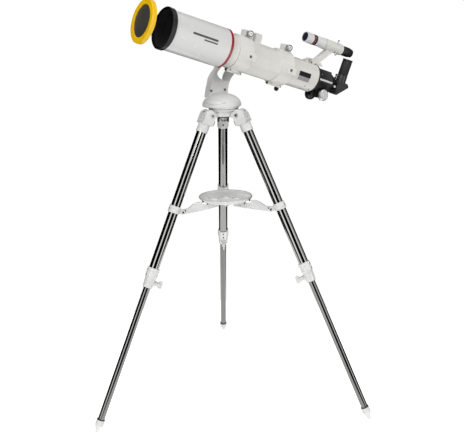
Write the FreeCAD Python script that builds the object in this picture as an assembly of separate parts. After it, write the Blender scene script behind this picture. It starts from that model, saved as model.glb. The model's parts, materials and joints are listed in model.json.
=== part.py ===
"""Short refractor telescope on a single-arm alt-azimuth mount and a steel tripod.

Row frame: millimetres, +Z up, origin on the floor under the azimuth axis.
+X is the horizontal direction the telescope looks in, and the arm stands on the -Y side.
"""
import FreeCAD
import Part

import math
import os

Vec = FreeCAD.Vector

# ---------------------------------------------------------------- driving dimensions, mm and degrees
# Telescope frame: x runs forward along the optical axis, y across, z up out of the tube.
TUBE_AXIS_HEIGHT = 1193.9      # optical axis above the floor at the azimuth axis
TUBE_ALTITUDE = 17.67
TUBE_RADIUS = 49.0
TUBE_WALL = 1.5
TUBE_REAR = -376.0
TUBE_FRONT = -14.0
CELL_RADIUS = 54.0
LENS_RADIUS = 51.0             # 102 mm clear aperture
DEW_RADIUS = 62.5
DEW_WALL = 2.0
DEW_REAR = 7.0
DEW_FRONT = 207.0
RIM_RADIUS = 65.6
RIM_FRONT = 222.0

RING_RADIUS = 57.5             # cradle rings
CRADLE_BORE = 49.4
CRADLE_MID_RADIUS = 51.6
CRADLE_SIDE = 55.0             # flat sides of the cradle
CRADLE_CREASE = -28.0
CRADLE_BOTTOM = -54.0
FRONT_RING = (-88.0, -34.0)
REAR_RING = (-258.0, -204.0)
SPLIT_GAP = 0.5                # half the gap between the two cradle halves
HINGE_DROP = -61.0             # cradle hinge axis below the optical axis
HINGE_RADIUS = 5.0
HINGE_PIN_RADIUS = 2.5
CRADLE_SCREW_RADIUS = 2.6
EAR_SPANS = ((-97.0, -62.0), (-262.5, -227.5))
KNOB_STATIONS = (-79.5, -245.0)
KNOB_HEIGHT = 68.5
PAD_STATIONS = (-76.0, -246.5)
PAD_RISE = 2.5
PAD_HOLE_RADIUS = 3.0
PAD_HOLE_DEPTH = 5.0

BAR_THICKNESS = 15.0           # dovetail bar
BAR_SPAN = (-275.0, -25.0)
BAR_WIDE = 44.0
BAR_NARROW = 36.0
BAR_DROP = -6.0

ALTITUDE_STATION = -112.0      # altitude axis along the tube
SADDLE_FACE = -84.0
SADDLE_HALF_LENGTH = 36.0
SADDLE_TOP = 28.0
CLAMP_AXIS_Y = -70.0
HEAD_FACE = -84.6
HEAD_THICKNESS = 27.0
HEAD_RADIUS = 51.0
ARM_LEAN_STEP = 5.0            # the far face of the arm turns outwards this much lower
EYELET_RADIUS = 16.5
AXLE_RADIUS = 8.0
AXLE_BUSH_RADIUS = 11.0
ARM_THROUGH = 150.0            # longer than any cut across the arm
RUNNING_GAP = 0.06             # radial play of turning and sliding fits

DOME_OFFSET = -10.0            # the dome is carried towards the arm side
DOME_RADIUS = 63.5
DOME_RISE = 39.0
DOME_CENTRE = 1013.0
DOME_WALL = 4.0
SKIRT_RADIUS = 49.5
SKIRT_BOTTOM = 1004.0
SPINDLE_RADIUS = 8.0
SPINDLE_FLANGE_RADIUS = 14.0
SPINDLE_TOP = 1042.5
FLANGE_BOTTOM = 1035.0         # retaining flange on the spindle
BEARING_RADIUS = 20.0
ARM_BOLT_REACHES = (-30.0, 23.0)
ARM_BOLT_HEIGHT = 1058.0
ARM_BOLT_SEAT = -39.0
ARM_BOLT_RADIUS = 2.5
ARM_BOLT_LENGTH = 12.0

HUB_TOP = 1003.4
HUB_FLANGE_BOTTOM = 996.0
HUB_FLANGE_RADIUS = 48.0
HUB_RADIUS = 35.0
HUB_BOTTOM = 979.0
HUB_BOSS_RADIUS = 13.0
HUB_BOSS_BOTTOM = 968.0
LUG_HALF_WIDTH = 12.0
LUG_RADIUS = 10.0

LEG_COUNT = 3
LEG_TILT = 24.76               # from the vertical
LEG_TOP_REACH = 62.5           # leg axis from the azimuth axis, at the height below
LEG_TOP_HEIGHT = 985.0
LEG_PIVOT_REACH = 55.0
LEG_PIVOT_HEIGHT = 984.5
PIVOT_BOLT_RADIUS = 4.0
BRACKET_HALF_WIDTH = 19.5
BRACKET_DEPTH = 18.6
EAR_INNER = 12.6
UPPER_RADIUS = 15.875          # 31.75 mm leg tube
UPPER_WALL = 1.5
LOWER_RADIUS = 11.1
LOWER_WALL = 1.2
SOCKET_BOTTOM = 34.0           # stations down the leg, from the level of the pivots
SOCKET_END = 57.3
COLLAR_SPAN = (308.0, 331.0)
CLAMP_SPAN = (519.0, 585.0)
CLAMP_STEP = 553.0
CLAMP_SCREW_STATION = 568.0
LOWER_TOP = 480.0
LOWER_END = 1046.0
FOOT_BALL = 6.0

LINK_REACH = 169.0             # pivot of a spreader arm on its leg
LINK_HEIGHT = 682.0
LINK_PIN_RADIUS = 2.4
ARM_HALF_THICKNESS = 3.0
ARM_INNER_REACH = 30.0

TRAY_RADIUS = 90.0
TRAY_TOP = 712.0
TRAY_BOTTOM = 698.0
TRAY_UNDER_RADIUS = 76.0
EYEPIECE_HOLE_RADIUS = 16.0
EYEPIECE_HOLE_REACH = 38.0
EYEPIECE_HOLE_ANGLES = (-21.0, 141.0)

FOCUSER_END = -448.0
HEX_APOTHEM = 37.5
HEX_SIDE_STEP = 3.5
DRAWTUBE_RADIUS = 33.0
DRAWTUBE_FRONT = -330.0
ADAPTER_END = -486.0
PINION_STATION = -423.0
PINION_DROP = -48.0
PINION_TEETH = 16
GEAR_MODULE = 1.0
RACK_SPAN = (-441.0, -346.0)
PITCH_RADIUS = GEAR_MODULE * PINION_TEETH / 2
PITCH_LINE = -PINION_DROP - PITCH_RADIUS
FOCUS_KNOB_RADIUS = 20.0
FOCUS_KNOB_START = 29.0
FOCUS_KNOB_WIDTH = 12.5
PINION_SHAFT_RADIUS = 3.0
LOCK_STATION = -396.0          # focus lock screw under the housing
LOCK_OFFSET = 8.0
LOCK_GRIP_RADIUS = 5.6
DIAGONAL_ROLL = 8.0            # the diagonal is turned a little towards +Y
EYEPIECE_STATION = -514.0
EYEPIECE_BARREL_RADIUS = 15.85
GRIP_SCREW_HEIGHTS = (28.0, 38.0)
MIRROR_HALF_LENGTH = 15.0
MIRROR_HALF_WIDTH = 13.0

FINDER_HEIGHT = 126.0
FINDER_RADIUS = 16.0
FINDER_SLEEVE = (-480.0, -400.0)
SCREW_STATION = -452.0
SCREW_ANGLE = -30.0             # the first alignment screw, from straight up

FILTER_RADIUS = 67.3
FILTER_SPAN = (280.0, 294.0)
FILTER_RECESS_RADIUS = 66.1
FILTER_WINDOW_RADIUS = 50.0

X_AXIS = Vec(1, 0, 0)
Y_AXIS = Vec(0, 1, 0)
Z_AXIS = Vec(0, 0, 1)
ORIGIN = Vec(0, 0, 0)


# ---------------------------------------------------------------- small shape helpers
def rod(radius, start, direction, length):
    """Cylinder from start along direction."""
    return Part.makeCylinder(radius, length, Vec(*start), direction)


def pipe(outer, inner, start, direction, length):
    """Hollow cylinder."""
    return rod(outer, start, direction, length).cut(rod(inner, start, direction, length))


def block(x_span, y_span, z_span):
    """Box from its three (low, high) spans."""
    size = [span[1] - span[0] for span in (x_span, y_span, z_span)]
    return Part.makeBox(*size, Vec(x_span[0], y_span[0], z_span[0]))


def fuse_all(shapes):
    """One solid from several that touch."""
    return shapes[0].multiFuse(shapes[1:]).removeSplitter()


def prism(points, thickness, plane="xz"):
    """Closed polygon swept symmetrically: in xz it grows along y, in yz along x."""
    if plane == "xz":
        corners = [Vec(a, -thickness / 2, b) for a, b in points]
        sweep = Vec(0, thickness, 0)
    else:
        corners = [Vec(-thickness / 2, a, b) for a, b in points]
        sweep = Vec(thickness, 0, 0)
    wire = Part.makePolygon(corners + corners[:1])
    return Part.Face(wire).extrude(sweep)


def turned(points, centre=(0, 0, 0), direction=X_AXIS):
    """Solid of revolution from (station, radius) points about an axis."""
    corners = [Vec(station, 0, radius) for station, radius in points]
    solid = Part.Face(Part.makePolygon(corners + corners[:1])).revolve(ORIGIN, X_AXIS, 360)
    solid.Placement = FreeCAD.Placement(Vec(*centre), FreeCAD.Rotation(X_AXIS, direction))
    return solid


def soften(shape, radius, choose):
    """Fillet the edges that the test picks."""
    edges = [edge for edge in shape.Edges if choose(edge)]
    return shape.makeFillet(radius, edges) if edges else shape


def runs_along(edge, axis):
    """True for a straight edge parallel to an axis."""
    return edge.Curve.TypeId == "Part::GeomLine" and abs(edge.Curve.Direction.dot(axis)) > 0.999


def tube_placement():
    """Telescope frame in the row frame."""
    return FreeCAD.Placement(Vec(0, 0, TUBE_AXIS_HEIGHT), FreeCAD.Rotation(Y_AXIS, -TUBE_ALTITUDE))


def on_tube(shape):
    """Carry a shape from the telescope frame to the row frame."""
    placed = shape.copy()
    placed.Placement = tube_placement().multiply(placed.Placement)
    return placed


def on_leg(shape, index):
    """Carry a shape from the leg frame: x down the leg, y across it, z out of its outer face."""
    tilt = FreeCAD.Placement(Vec(LEG_TOP_REACH, 0, LEG_TOP_HEIGHT), FreeCAD.Rotation(Y_AXIS, 90 - LEG_TILT))
    return round_the_hub(shape, index, tilt)


def round_the_hub(shape, index, first=FreeCAD.Placement()):
    """Turn a shape to leg 0, 1 or 2 about the azimuth axis."""
    placed = shape.copy()
    turn = FreeCAD.Placement(ORIGIN, FreeCAD.Rotation(Z_AXIS, index * 360 / LEG_COUNT))
    placed.Placement = turn.multiply(first).multiply(placed.Placement)
    return placed


def leg_station(reach, height):
    """Point of the leg plane, given as reach and height, in the leg frame's x and z."""
    out, up = reach - LEG_TOP_REACH, height - LEG_TOP_HEIGHT
    sine, cosine = math.sin(math.radians(LEG_TILT)), math.cos(math.radians(LEG_TILT))
    return out * sine - up * cosine, out * cosine + up * sine


# ---------------------------------------------------------------- tripod head
def tripod_hub():
    """Central casting with a top flange and one lug for each leg."""
    body = turned([(HUB_BOSS_BOTTOM, 0), (HUB_BOSS_BOTTOM, HUB_BOSS_RADIUS - 1.5),
                   (HUB_BOSS_BOTTOM + 1.5, HUB_BOSS_RADIUS), (HUB_BOTTOM, HUB_BOSS_RADIUS),
                   (HUB_BOTTOM, HUB_RADIUS - 1.5), (HUB_BOTTOM + 1.5, HUB_RADIUS),
                   (HUB_FLANGE_BOTTOM, HUB_RADIUS), (HUB_FLANGE_BOTTOM + 2, HUB_FLANGE_RADIUS),
                   (HUB_TOP - 1.5, HUB_FLANGE_RADIUS), (HUB_TOP, HUB_FLANGE_RADIUS - 1.5), (HUB_TOP, 0)],
                  direction=Z_AXIS)
    lug = block((30, LEG_PIVOT_REACH), (-LUG_HALF_WIDTH, LUG_HALF_WIDTH),
                (LEG_PIVOT_HEIGHT - LUG_RADIUS, LEG_PIVOT_HEIGHT + LUG_RADIUS))
    nose = rod(LUG_RADIUS, (LEG_PIVOT_REACH, -LUG_HALF_WIDTH, LEG_PIVOT_HEIGHT), Y_AXIS, 2 * LUG_HALF_WIDTH)
    hole = rod(PIVOT_BOLT_RADIUS, (LEG_PIVOT_REACH, -30, LEG_PIVOT_HEIGHT), Y_AXIS, 60)
    lug = lug.fuse(nose)
    hub = fuse_all([body] + [round_the_hub(lug, index) for index in range(LEG_COUNT)])
    for index in range(LEG_COUNT):
        hub = hub.cut(round_the_hub(hole, index))
    return hub.cut(rod(SPINDLE_RADIUS, (0, 0, HUB_BOSS_BOTTOM - 1), Z_AXIS, 60))


def leg_pivot_bolts():
    """Three bolts that the legs fold about, with a head and a nut outside the bracket ears."""
    head = BRACKET_HALF_WIDTH + 0.3
    bolt = rod(PIVOT_BOLT_RADIUS, (LEG_PIVOT_REACH, -head, LEG_PIVOT_HEIGHT), Y_AXIS, 2 * head)
    caps = [rod(6.5, (LEG_PIVOT_REACH, side, LEG_PIVOT_HEIGHT), Y_AXIS, 3.5) for side in (-head - 3.5, head)]
    bolt = fuse_all([bolt] + caps)
    return Part.makeCompound([round_the_hub(bolt, index) for index in range(LEG_COUNT)])


def azimuth_spindle():
    """Shaft that the mount head turns on, with its retaining flange inside the dome."""
    return turned([(HUB_BOSS_BOTTOM, 0), (HUB_BOSS_BOTTOM, SPINDLE_RADIUS), (FLANGE_BOTTOM, SPINDLE_RADIUS),
                   (FLANGE_BOTTOM, SPINDLE_FLANGE_RADIUS), (SPINDLE_TOP - 1.5, SPINDLE_FLANGE_RADIUS),
                   (SPINDLE_TOP, SPINDLE_FLANGE_RADIUS - 2), (SPINDLE_TOP, 0)], direction=Z_AXIS)


def dome_cap(radius, rise):
    """Upper half of a flattened ball."""
    ball = Part.makeSphere(radius, ORIGIN, Z_AXIS, 0, 90, 360)
    stretch = FreeCAD.Matrix()
    stretch.scale(1, 1, rise / radius)
    cap = ball.transformGeometry(stretch)
    cap.translate(Vec(0, DOME_OFFSET, DOME_CENTRE))
    return cap


def azimuth_dome():
    """Hollow dome with a short skirt, carried on a central bearing boss."""
    flare = turned([(DOME_CENTRE - 4, 0), (DOME_CENTRE - 4, DOME_RADIUS - 3), (DOME_CENTRE - 2, DOME_RADIUS - 0.6),
                    (DOME_CENTRE, DOME_RADIUS), (DOME_CENTRE, 0)], (0, DOME_OFFSET, 0), Z_AXIS)
    skirt = turned([(SKIRT_BOTTOM, 0), (SKIRT_BOTTOM, SKIRT_RADIUS - 1), (SKIRT_BOTTOM + 1, SKIRT_RADIUS),
                    (DOME_CENTRE, SKIRT_RADIUS), (DOME_CENTRE, 0)], direction=Z_AXIS)
    shell = fuse_all([dome_cap(DOME_RADIUS, DOME_RISE), flare, skirt])
    hollow = dome_cap(DOME_RADIUS - DOME_WALL, DOME_RISE - DOME_WALL)
    mouth = rod(SKIRT_RADIUS - DOME_WALL, (0, 0, SKIRT_BOTTOM), Z_AXIS, DOME_CENTRE - SKIRT_BOTTOM)
    boss = rod(BEARING_RADIUS, (0, 0, SKIRT_BOTTOM), Z_AXIS, DOME_RISE + DOME_WALL + 3)
    shell = shell.cut(hollow.fuse(mouth).cut(boss))
    shell = shell.cut(rod(SPINDLE_RADIUS + RUNNING_GAP, (0, 0, SKIRT_BOTTOM - 1), Z_AXIS, 40))
    return shell.cut(rod(SPINDLE_FLANGE_RADIUS + 1, (0, 0, FLANGE_BOTTOM - 0.4), Z_AXIS, 11))


def arm_outline():
    """Swan-neck outline in the plane of the tube: base on the dome, leaning back to the round head."""
    head_x, head_z = altitude_axis()
    front = [Vec(37, 0, 1036), Vec(27, 0, 1059), Vec(14, 0, 1077), Vec(-6, 0, 1095), Vec(-27, 0, 1114),
             Vec(-43, 0, 1135), Vec(head_x + HEAD_RADIUS, 0, head_z)]
    back = [Vec(-39, 0, 1036), Vec(-41, 0, 1052), Vec(-52, 0, 1074), Vec(-75, 0, 1092),
            Vec(head_x, 0, head_z - HEAD_RADIUS)]
    crown = Part.Arc(front[-1], Vec(head_x, 0, head_z + HEAD_RADIUS), Vec(head_x - HEAD_RADIUS, 0, head_z))
    chin = Part.Arc(Vec(head_x - HEAD_RADIUS, 0, head_z),
                    Vec(head_x - HEAD_RADIUS * math.sqrt(0.5), 0, head_z - HEAD_RADIUS * math.sqrt(0.5)), back[-1])
    edges = [curve_through(front), crown.toShape(), chin.toShape(), curve_through(back)]
    edges.append(Part.makeLine(back[0], front[0]))
    return Part.Face(Part.Wire(Part.__sortEdges__(edges)))


def curve_through(points):
    """Smooth edge through a few points."""
    curve = Part.BSplineCurve()
    curve.interpolate(points)
    return curve.toShape()


def altitude_axis():
    """Row-frame x and z of the altitude axis."""
    angle = math.radians(TUBE_ALTITUDE)
    return ALTITUDE_STATION * math.cos(angle), TUBE_AXIS_HEIGHT + ALTITUDE_STATION * math.sin(angle)


def mount_arm():
    """Single arm: swan-neck plate that leans out to its altitude head, with a long eyelet."""
    head_x, head_z = altitude_axis()
    plate = arm_outline()
    plate.translate(Vec(0, -ARM_THROUGH, 0))
    plate = plate.extrude(Vec(0, ARM_THROUGH, 0))
    near = [Vec(0, -30, 1030), Vec(0, -34, 1052), Vec(0, -56, 1085), Vec(0, -78, 1103), Vec(0, HEAD_FACE, 1114)]
    far = [Vec(0, point.y - HEAD_THICKNESS, point.z - ARM_LEAN_STEP) for point in near]
    top_near, top_far = Vec(0, HEAD_FACE, 1240), Vec(0, HEAD_FACE - HEAD_THICKNESS, 1240)
    band = [curve_through(near), Part.makeLine(near[-1], top_near), Part.makeLine(top_near, top_far),
            Part.makeLine(top_far, far[-1]), curve_through(far), Part.makeLine(far[0], near[0])]
    band = Part.Face(Part.Wire(Part.__sortEdges__(band)))
    band.translate(Vec(-220, 0, 0))
    arm = plate.common(band.extrude(Vec(360, 0, 0)))
    eyelet = slot_prism(Vec(-46, 0, 1101), Vec(-75, 0, 1131), EYELET_RADIUS)
    arm = arm.cut(eyelet)
    arm = arm.cut(dome_core())
    arm = arm.cut(rod(AXLE_BUSH_RADIUS, (head_x, 0, head_z), -Y_AXIS, ARM_THROUGH))
    for reach in ARM_BOLT_REACHES:
        start = ARM_BOLT_SEAT - ARM_BOLT_LENGTH
        arm = arm.cut(rod(ARM_BOLT_RADIUS, (reach, start, ARM_BOLT_HEIGHT), Y_AXIS, 30))
        arm = arm.cut(rod(4.7, (reach, ARM_BOLT_SEAT, ARM_BOLT_HEIGHT), Y_AXIS, 20))
    return arm


def slot_prism(start, end, radius):
    """Round-ended slot between two points of the tube's plane, right across the arm."""
    run = end - start
    half = Vec(-run.z, 0, run.x).normalize() * radius
    corners = [start + half, end + half, end - half, start - half]
    middle = Part.Face(Part.makePolygon(corners + corners[:1]))
    middle.translate(Vec(0, -ARM_THROUGH, 0))
    ends = [rod(radius, (point.x, -ARM_THROUGH, point.z), Y_AXIS, ARM_THROUGH) for point in (start, end)]
    return fuse_all([middle.extrude(Vec(0, ARM_THROUGH, 0))] + ends)


def dome_core():
    """Space that the dome fills, which the foot of the arm is cut to."""
    base = rod(DOME_RADIUS, (0, DOME_OFFSET, DOME_CENTRE - 20), Z_AXIS, 20)
    return dome_cap(DOME_RADIUS, DOME_RISE).fuse(base)


def arm_bolts():
    """Socket screws that hold the arm to the dome casting, heads proud of the arm's near face."""
    screws = []
    for reach in ARM_BOLT_REACHES:
        start = ARM_BOLT_SEAT - ARM_BOLT_LENGTH
        shank = rod(ARM_BOLT_RADIUS, (reach, start, ARM_BOLT_HEIGHT), Y_AXIS, ARM_BOLT_LENGTH + 1)
        head = rod(4.5, (reach, ARM_BOLT_SEAT, ARM_BOLT_HEIGHT), Y_AXIS, 4)
        screws.append(shank.fuse(head))
    return Part.makeCompound(screws)


# ---------------------------------------------------------------- altitude head
def altitude_axle():
    """Shoulder shaft fixed in the saddle and turning in the head of the arm."""
    far_face = HEAD_FACE - HEAD_THICKNESS
    shaft = rod(AXLE_RADIUS, (ALTITUDE_STATION, far_face - 17, 0), Y_AXIS, SADDLE_FACE + 6 - (far_face - 17))
    bush = rod(AXLE_BUSH_RADIUS - RUNNING_GAP, (ALTITUDE_STATION, far_face + 1, 0), Y_AXIS, HEAD_THICKNESS - 1.6)
    return on_tube(shaft.fuse(bush))


def altitude_knob():
    """Tension knob with six lobes that clamps the head of the arm."""
    start = HEAD_FACE - HEAD_THICKNESS - 0.6
    knob = rod(24, (ALTITUDE_STATION, start - 20, 0), Y_AXIS, 17)
    knob = knob.fuse(rod(17, (ALTITUDE_STATION, start - 3, 0), Y_AXIS, 3))
    for step in range(6):
        angle = math.radians(60 * step)
        x, z = ALTITUDE_STATION + 29 * math.cos(angle), 29 * math.sin(angle)
        knob = knob.cut(rod(9, (x, start - 21, z), Y_AXIS, 19))
    hole = rod(AXLE_RADIUS + RUNNING_GAP, (ALTITUDE_STATION, start - 17, 0), Y_AXIS, 17)
    return on_tube(knob.cut(hole))


def dovetail_section(half_near, half_far, near, far):
    """Outline across the bar: narrow at the cradle, wide in the saddle."""
    return [(near, -half_near), (near, half_near), (far, half_far), (far, -half_far)]


def dovetail_bar():
    """Bar on the cradle's far pads that the saddle grips."""
    near = -CRADLE_SIDE - PAD_RISE
    far = near - BAR_THICKNESS
    bar = prism(dovetail_section(BAR_NARROW / 2, BAR_WIDE / 2, near, far), BAR_SPAN[1] - BAR_SPAN[0], "yz")
    bar.translate(Vec(sum(BAR_SPAN) / 2, 0, BAR_DROP))
    for station in PAD_STATIONS:
        bar = bar.cut(rod(5.5, (station, far - 1, BAR_DROP), Y_AXIS, 6))
        bar = bar.cut(rod(PAD_HOLE_RADIUS + 0.2, (station, far, BAR_DROP), Y_AXIS, BAR_THICKNESS))
    return on_tube(bar)


def dovetail_saddle():
    """Clamp on the altitude axle: a fixed jaw, a floor and a bored edge for the clamp screw."""
    near = -CRADLE_SIDE - PAD_RISE
    body = block((ALTITUDE_STATION - SADDLE_HALF_LENGTH, ALTITUDE_STATION + SADDLE_HALF_LENGTH),
                 (SADDLE_FACE, near - 5.5), (-33, SADDLE_TOP))
    body = soften(body, 6, lambda edge: runs_along(edge, Y_AXIS))
    gap = 0.3
    section = dovetail_section(BAR_NARROW / 2 + gap, BAR_WIDE / 2 + gap, near, near - BAR_THICKNESS - gap)
    recess = prism(section, 200, "yz")
    recess.translate(Vec(ALTITUDE_STATION, 0, BAR_DROP))
    body = body.cut(recess)
    body = body.cut(rod(AXLE_RADIUS, (ALTITUDE_STATION, SADDLE_FACE - 1, 0), Y_AXIS, 7))
    return on_tube(body.cut(rod(3.2, (ALTITUDE_STATION, CLAMP_AXIS_Y, 10), Z_AXIS, 30)))


def saddle_knob():
    """Screw that presses on the dovetail bar from above, with a fluted grip."""
    foot = BAR_DROP + BAR_WIDE / 2 + 0.2
    knob = rod(3.1, (ALTITUDE_STATION, CLAMP_AXIS_Y, foot), Z_AXIS, 40 - foot)
    grip = rod(10.5, (ALTITUDE_STATION, CLAMP_AXIS_Y, 38), Z_AXIS, 18)
    return on_tube(fluted(knob.fuse(grip), (ALTITUDE_STATION, CLAMP_AXIS_Y, 37), Z_AXIS, 10.5, 10, 20))


def fluted(shape, centre, direction, radius, count, length):
    """Cut small flutes round a grip."""
    flutes = []
    for step in range(count):
        angle = 2 * math.pi * step / count
        side = Vec((radius + 0.9) * math.cos(angle), (radius + 0.9) * math.sin(angle), 0)
        side = FreeCAD.Rotation(Z_AXIS, direction).multVec(side)
        start = Vec(*centre) + side
        flutes.append(rod(1.6, (start.x, start.y, start.z), direction, length))
    return shape.cut(Part.makeCompound(flutes))


# ---------------------------------------------------------------- cradle
def along_cradle(radius, height=0):
    """Rod that runs past both ends of the cradle."""
    return rod(radius, (REAR_RING[0] - 12, 0, height), X_AXIS, FRONT_RING[1] - REAR_RING[0] + 26)


def cradle_half(side):
    """One half of the clamshell: two rings, a flat-sided middle, a pad at each ring and the top ears."""
    rings = [rod(RING_RADIUS, (span[0], 0, 0), X_AXIS, span[1] - span[0]) for span in (FRONT_RING, REAR_RING)]
    middle_span = (REAR_RING[1] - 1, FRONT_RING[0] + 1)
    middle = rod(CRADLE_MID_RADIUS, (middle_span[0], 0, 0), X_AXIS, middle_span[1] - middle_span[0])
    outline = [(0, 0), (0, 50.0), (side * 20, 47.5), (side * 44, 27), (side * CRADLE_SIDE, 3),
               (side * CRADLE_SIDE, CRADLE_CREASE), (side * 12, CRADLE_BOTTOM), (0, CRADLE_BOTTOM)]
    flat = prism(outline, middle_span[1] - middle_span[0], "yz")
    flat.translate(Vec(sum(middle_span) / 2, 0, 0))
    parts = rings + [middle, flat]
    for station in PAD_STATIONS:
        depth = ordered(side * 30, side * (CRADLE_SIDE + PAD_RISE))
        parts.append(block((station - 22, station + 15), depth, (-19, 7)))
    for low, high in EAR_SPANS:
        parts.append(block((low, high), ordered(0, side * 10), (45, 78)))
    if side > 0:
        parts.append(block((-130, -105), (0, 16), (44, 79)))
    keep = block((-300, 0), ordered(side * SPLIT_GAP, side * 90), (-90, 90))
    half = fuse_all([part.common(keep).cut(along_cradle(CRADLE_BORE)) for part in parts])
    for station in PAD_STATIONS:
        mouth = side * (CRADLE_SIDE + PAD_RISE)
        half = half.cut(rod(PAD_HOLE_RADIUS, (station, mouth, BAR_DROP), Y_AXIS * -side, PAD_HOLE_DEPTH))
    for station in KNOB_STATIONS:
        half = half.cut(rod(CRADLE_SCREW_RADIUS + 0.8, (station, 0, KNOB_HEIGHT), Y_AXIS * side, 20))
    return half


def ordered(first, second):
    """Span in rising order."""
    return (min(first, second), max(first, second))


def cradle_base():
    """Far half of the cradle, with the outer hinge knuckles."""
    return on_tube(hinged_half(-1, outer_knuckles(), inner_knuckles()))


def cradle_cover():
    """Near half of the cradle, with the inner hinge knuckles."""
    return on_tube(hinged_half(1, inner_knuckles(), outer_knuckles()))


def hinged_half(side, own, other):
    """A cradle half joined to its knuckles, with room for the other half's."""
    half = cradle_half(side)
    room = [rod(HINGE_RADIUS + 0.8, (low - 0.4, 0, HINGE_DROP), X_AXIS, high - low + 0.8) for low, high in other]
    knuckles = []
    for low, high in own:
        knuckle = rod(HINGE_RADIUS, (low, 0, HINGE_DROP), X_AXIS, high - low)
        web = block((low, high), ordered(side * 0.6, side * 12), (HINGE_DROP - 1, CRADLE_BOTTOM))
        knuckles.append(knuckle.fuse(web))
    half = fuse_all([half.cut(Part.makeCompound(room))] + knuckles)
    half = half.cut(along_cradle(CRADLE_BORE))
    return half.cut(along_cradle(HINGE_PIN_RADIUS + RUNNING_GAP, HINGE_DROP))


def outer_knuckles():
    """Spans of the base's knuckles, two on each ring."""
    return [span for low, high in (FRONT_RING, REAR_RING) for span in ((low, low + 13), (high - 13, high))]


def inner_knuckles():
    """Spans of the cover's knuckles, one between each pair."""
    return [(low + 13.6, high - 13.6) for low, high in (FRONT_RING, REAR_RING)]


def cradle_hinge_pins():
    """Two steel pins, each a little longer than its ring."""
    return on_tube(Part.makeCompound([rod(HINGE_PIN_RADIUS, (low - 1.5, 0, HINGE_DROP), X_AXIS, high - low + 3)
                                      for low, high in (FRONT_RING, REAR_RING)]))


def cradle_knobs():
    """Knurled thumb nuts and their screws, which draw the two halves together."""
    knobs = []
    for station in KNOB_STATIONS:
        screw = rod(CRADLE_SCREW_RADIUS, (station, -9, KNOB_HEIGHT), Y_AXIS, 24)
        grip = turned([(0, 0), (0, 7), (1, 10.5), (12.5, 10.5), (14, 9.2), (14, 6.4), (11, 6.4), (11, 0)],
                      (station, 10.4, KNOB_HEIGHT), Y_AXIS)
        knobs.append(screw.fuse(grip))
    return on_tube(Part.makeCompound(knobs))


# ---------------------------------------------------------------- optical tube
def main_tube():
    """White tube between the lens cell and the focuser, with three knife-edge baffles."""
    shell = pipe(TUBE_RADIUS, TUBE_RADIUS - TUBE_WALL, (TUBE_REAR, 0, 0), X_AXIS, TUBE_FRONT - TUBE_REAR)
    baffles = [pipe(TUBE_RADIUS - TUBE_WALL + 0.2, opening, (station, 0, 0), X_AXIS, 1.2)
               for station, opening in ((-90, 43.5), (-180, 37), (-270, 35))]
    return on_tube(fuse_all([shell] + baffles))


def lens_cell():
    """Ring that joins the tube, the lenses and the dew shield, with the seat for the lens pair."""
    cell = turned([(-34, TUBE_RADIUS), (-34, CELL_RADIUS - 1.5), (-32, CELL_RADIUS), (-2.2, CELL_RADIUS),
                   (-2.2, DEW_RADIUS - 2.4), (13, DEW_RADIUS - 2.4), (13, LENS_RADIUS + 4), (18, LENS_RADIUS + 4),
                   (18, LENS_RADIUS + 0.1), (-6, LENS_RADIUS + 0.1), (-6, TUBE_RADIUS - TUBE_WALL),
                   (TUBE_FRONT, TUBE_RADIUS - TUBE_WALL), (TUBE_FRONT, TUBE_RADIUS)])
    return on_tube(cell)


def lens_side(station, bulge):
    """Section of a spherical surface, from its rim to the optical axis, that bulges forward."""
    ball_radius = (LENS_RADIUS ** 2 + bulge ** 2) / (2 * abs(bulge))
    fall = math.copysign(ball_radius - math.sqrt(ball_radius ** 2 - LENS_RADIUS ** 2 / 4), bulge)
    middle = Vec(station + bulge - fall, 0, LENS_RADIUS / 2)
    return Part.Arc(Vec(station, 0, LENS_RADIUS), middle, Vec(station + bulge, 0, 0)).toShape()


def lens(rear, rear_bulge, front, front_bulge):
    """Lens between two surfaces, given at their rims with the forward bulge of each."""
    rim = Part.makeLine(Vec(rear, 0, LENS_RADIUS), Vec(front, 0, LENS_RADIUS))
    core = Part.makeLine(Vec(rear + rear_bulge, 0, 0), Vec(front + front_bulge, 0, 0))
    edges = [lens_side(rear, rear_bulge), lens_side(front, front_bulge), rim, core]
    return Part.Face(Part.Wire(Part.__sortEdges__(edges))).revolve(ORIGIN, X_AXIS, 360)


def objective_lenses():
    """Air-spaced doublet: flint behind, crown in front."""
    flint = lens(-5.9, 0.9, 3.5, -5.2)
    crown = lens(4.2, -5.0, 9.4, 3.6)
    return on_tube(Part.makeCompound([flint, crown]))


def dew_shield():
    """Wide white tube in front of the lens."""
    shield = pipe(DEW_RADIUS, DEW_RADIUS - DEW_WALL, (DEW_REAR, 0, 0), X_AXIS, DEW_FRONT - DEW_REAR)
    return on_tube(shield)


def dew_rim():
    """Black end ring with two inner steps."""
    rim = turned([(DEW_FRONT, DEW_RADIUS - 4.5), (DEW_FRONT, RIM_RADIUS - 1.2), (DEW_FRONT + 1.2, RIM_RADIUS),
                  (RIM_FRONT - 1.5, RIM_RADIUS), (RIM_FRONT, RIM_RADIUS - 1.5), (RIM_FRONT, RIM_RADIUS - 3),
                  (RIM_FRONT - 4, RIM_RADIUS - 4.2), (RIM_FRONT - 4, DEW_RADIUS - 4.5)])
    return on_tube(rim)


# ---------------------------------------------------------------- focuser, diagonal and eyepiece
def hexagon(apothem, start, end):
    """Six-sided bar with flats above and below and a narrow flat on each side corner."""
    radius = apothem / math.cos(math.radians(30))
    corners = [(radius * math.cos(math.radians(60 * step)), radius * math.sin(math.radians(60 * step)))
               for step in range(6)]
    bar = prism(corners, end - start, "yz")
    bar.translate(Vec((start + end) / 2, 0, 0))
    side = apothem + HEX_SIDE_STEP
    return bar.common(block((start, end), (-side, side), (-apothem, apothem)))


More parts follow.
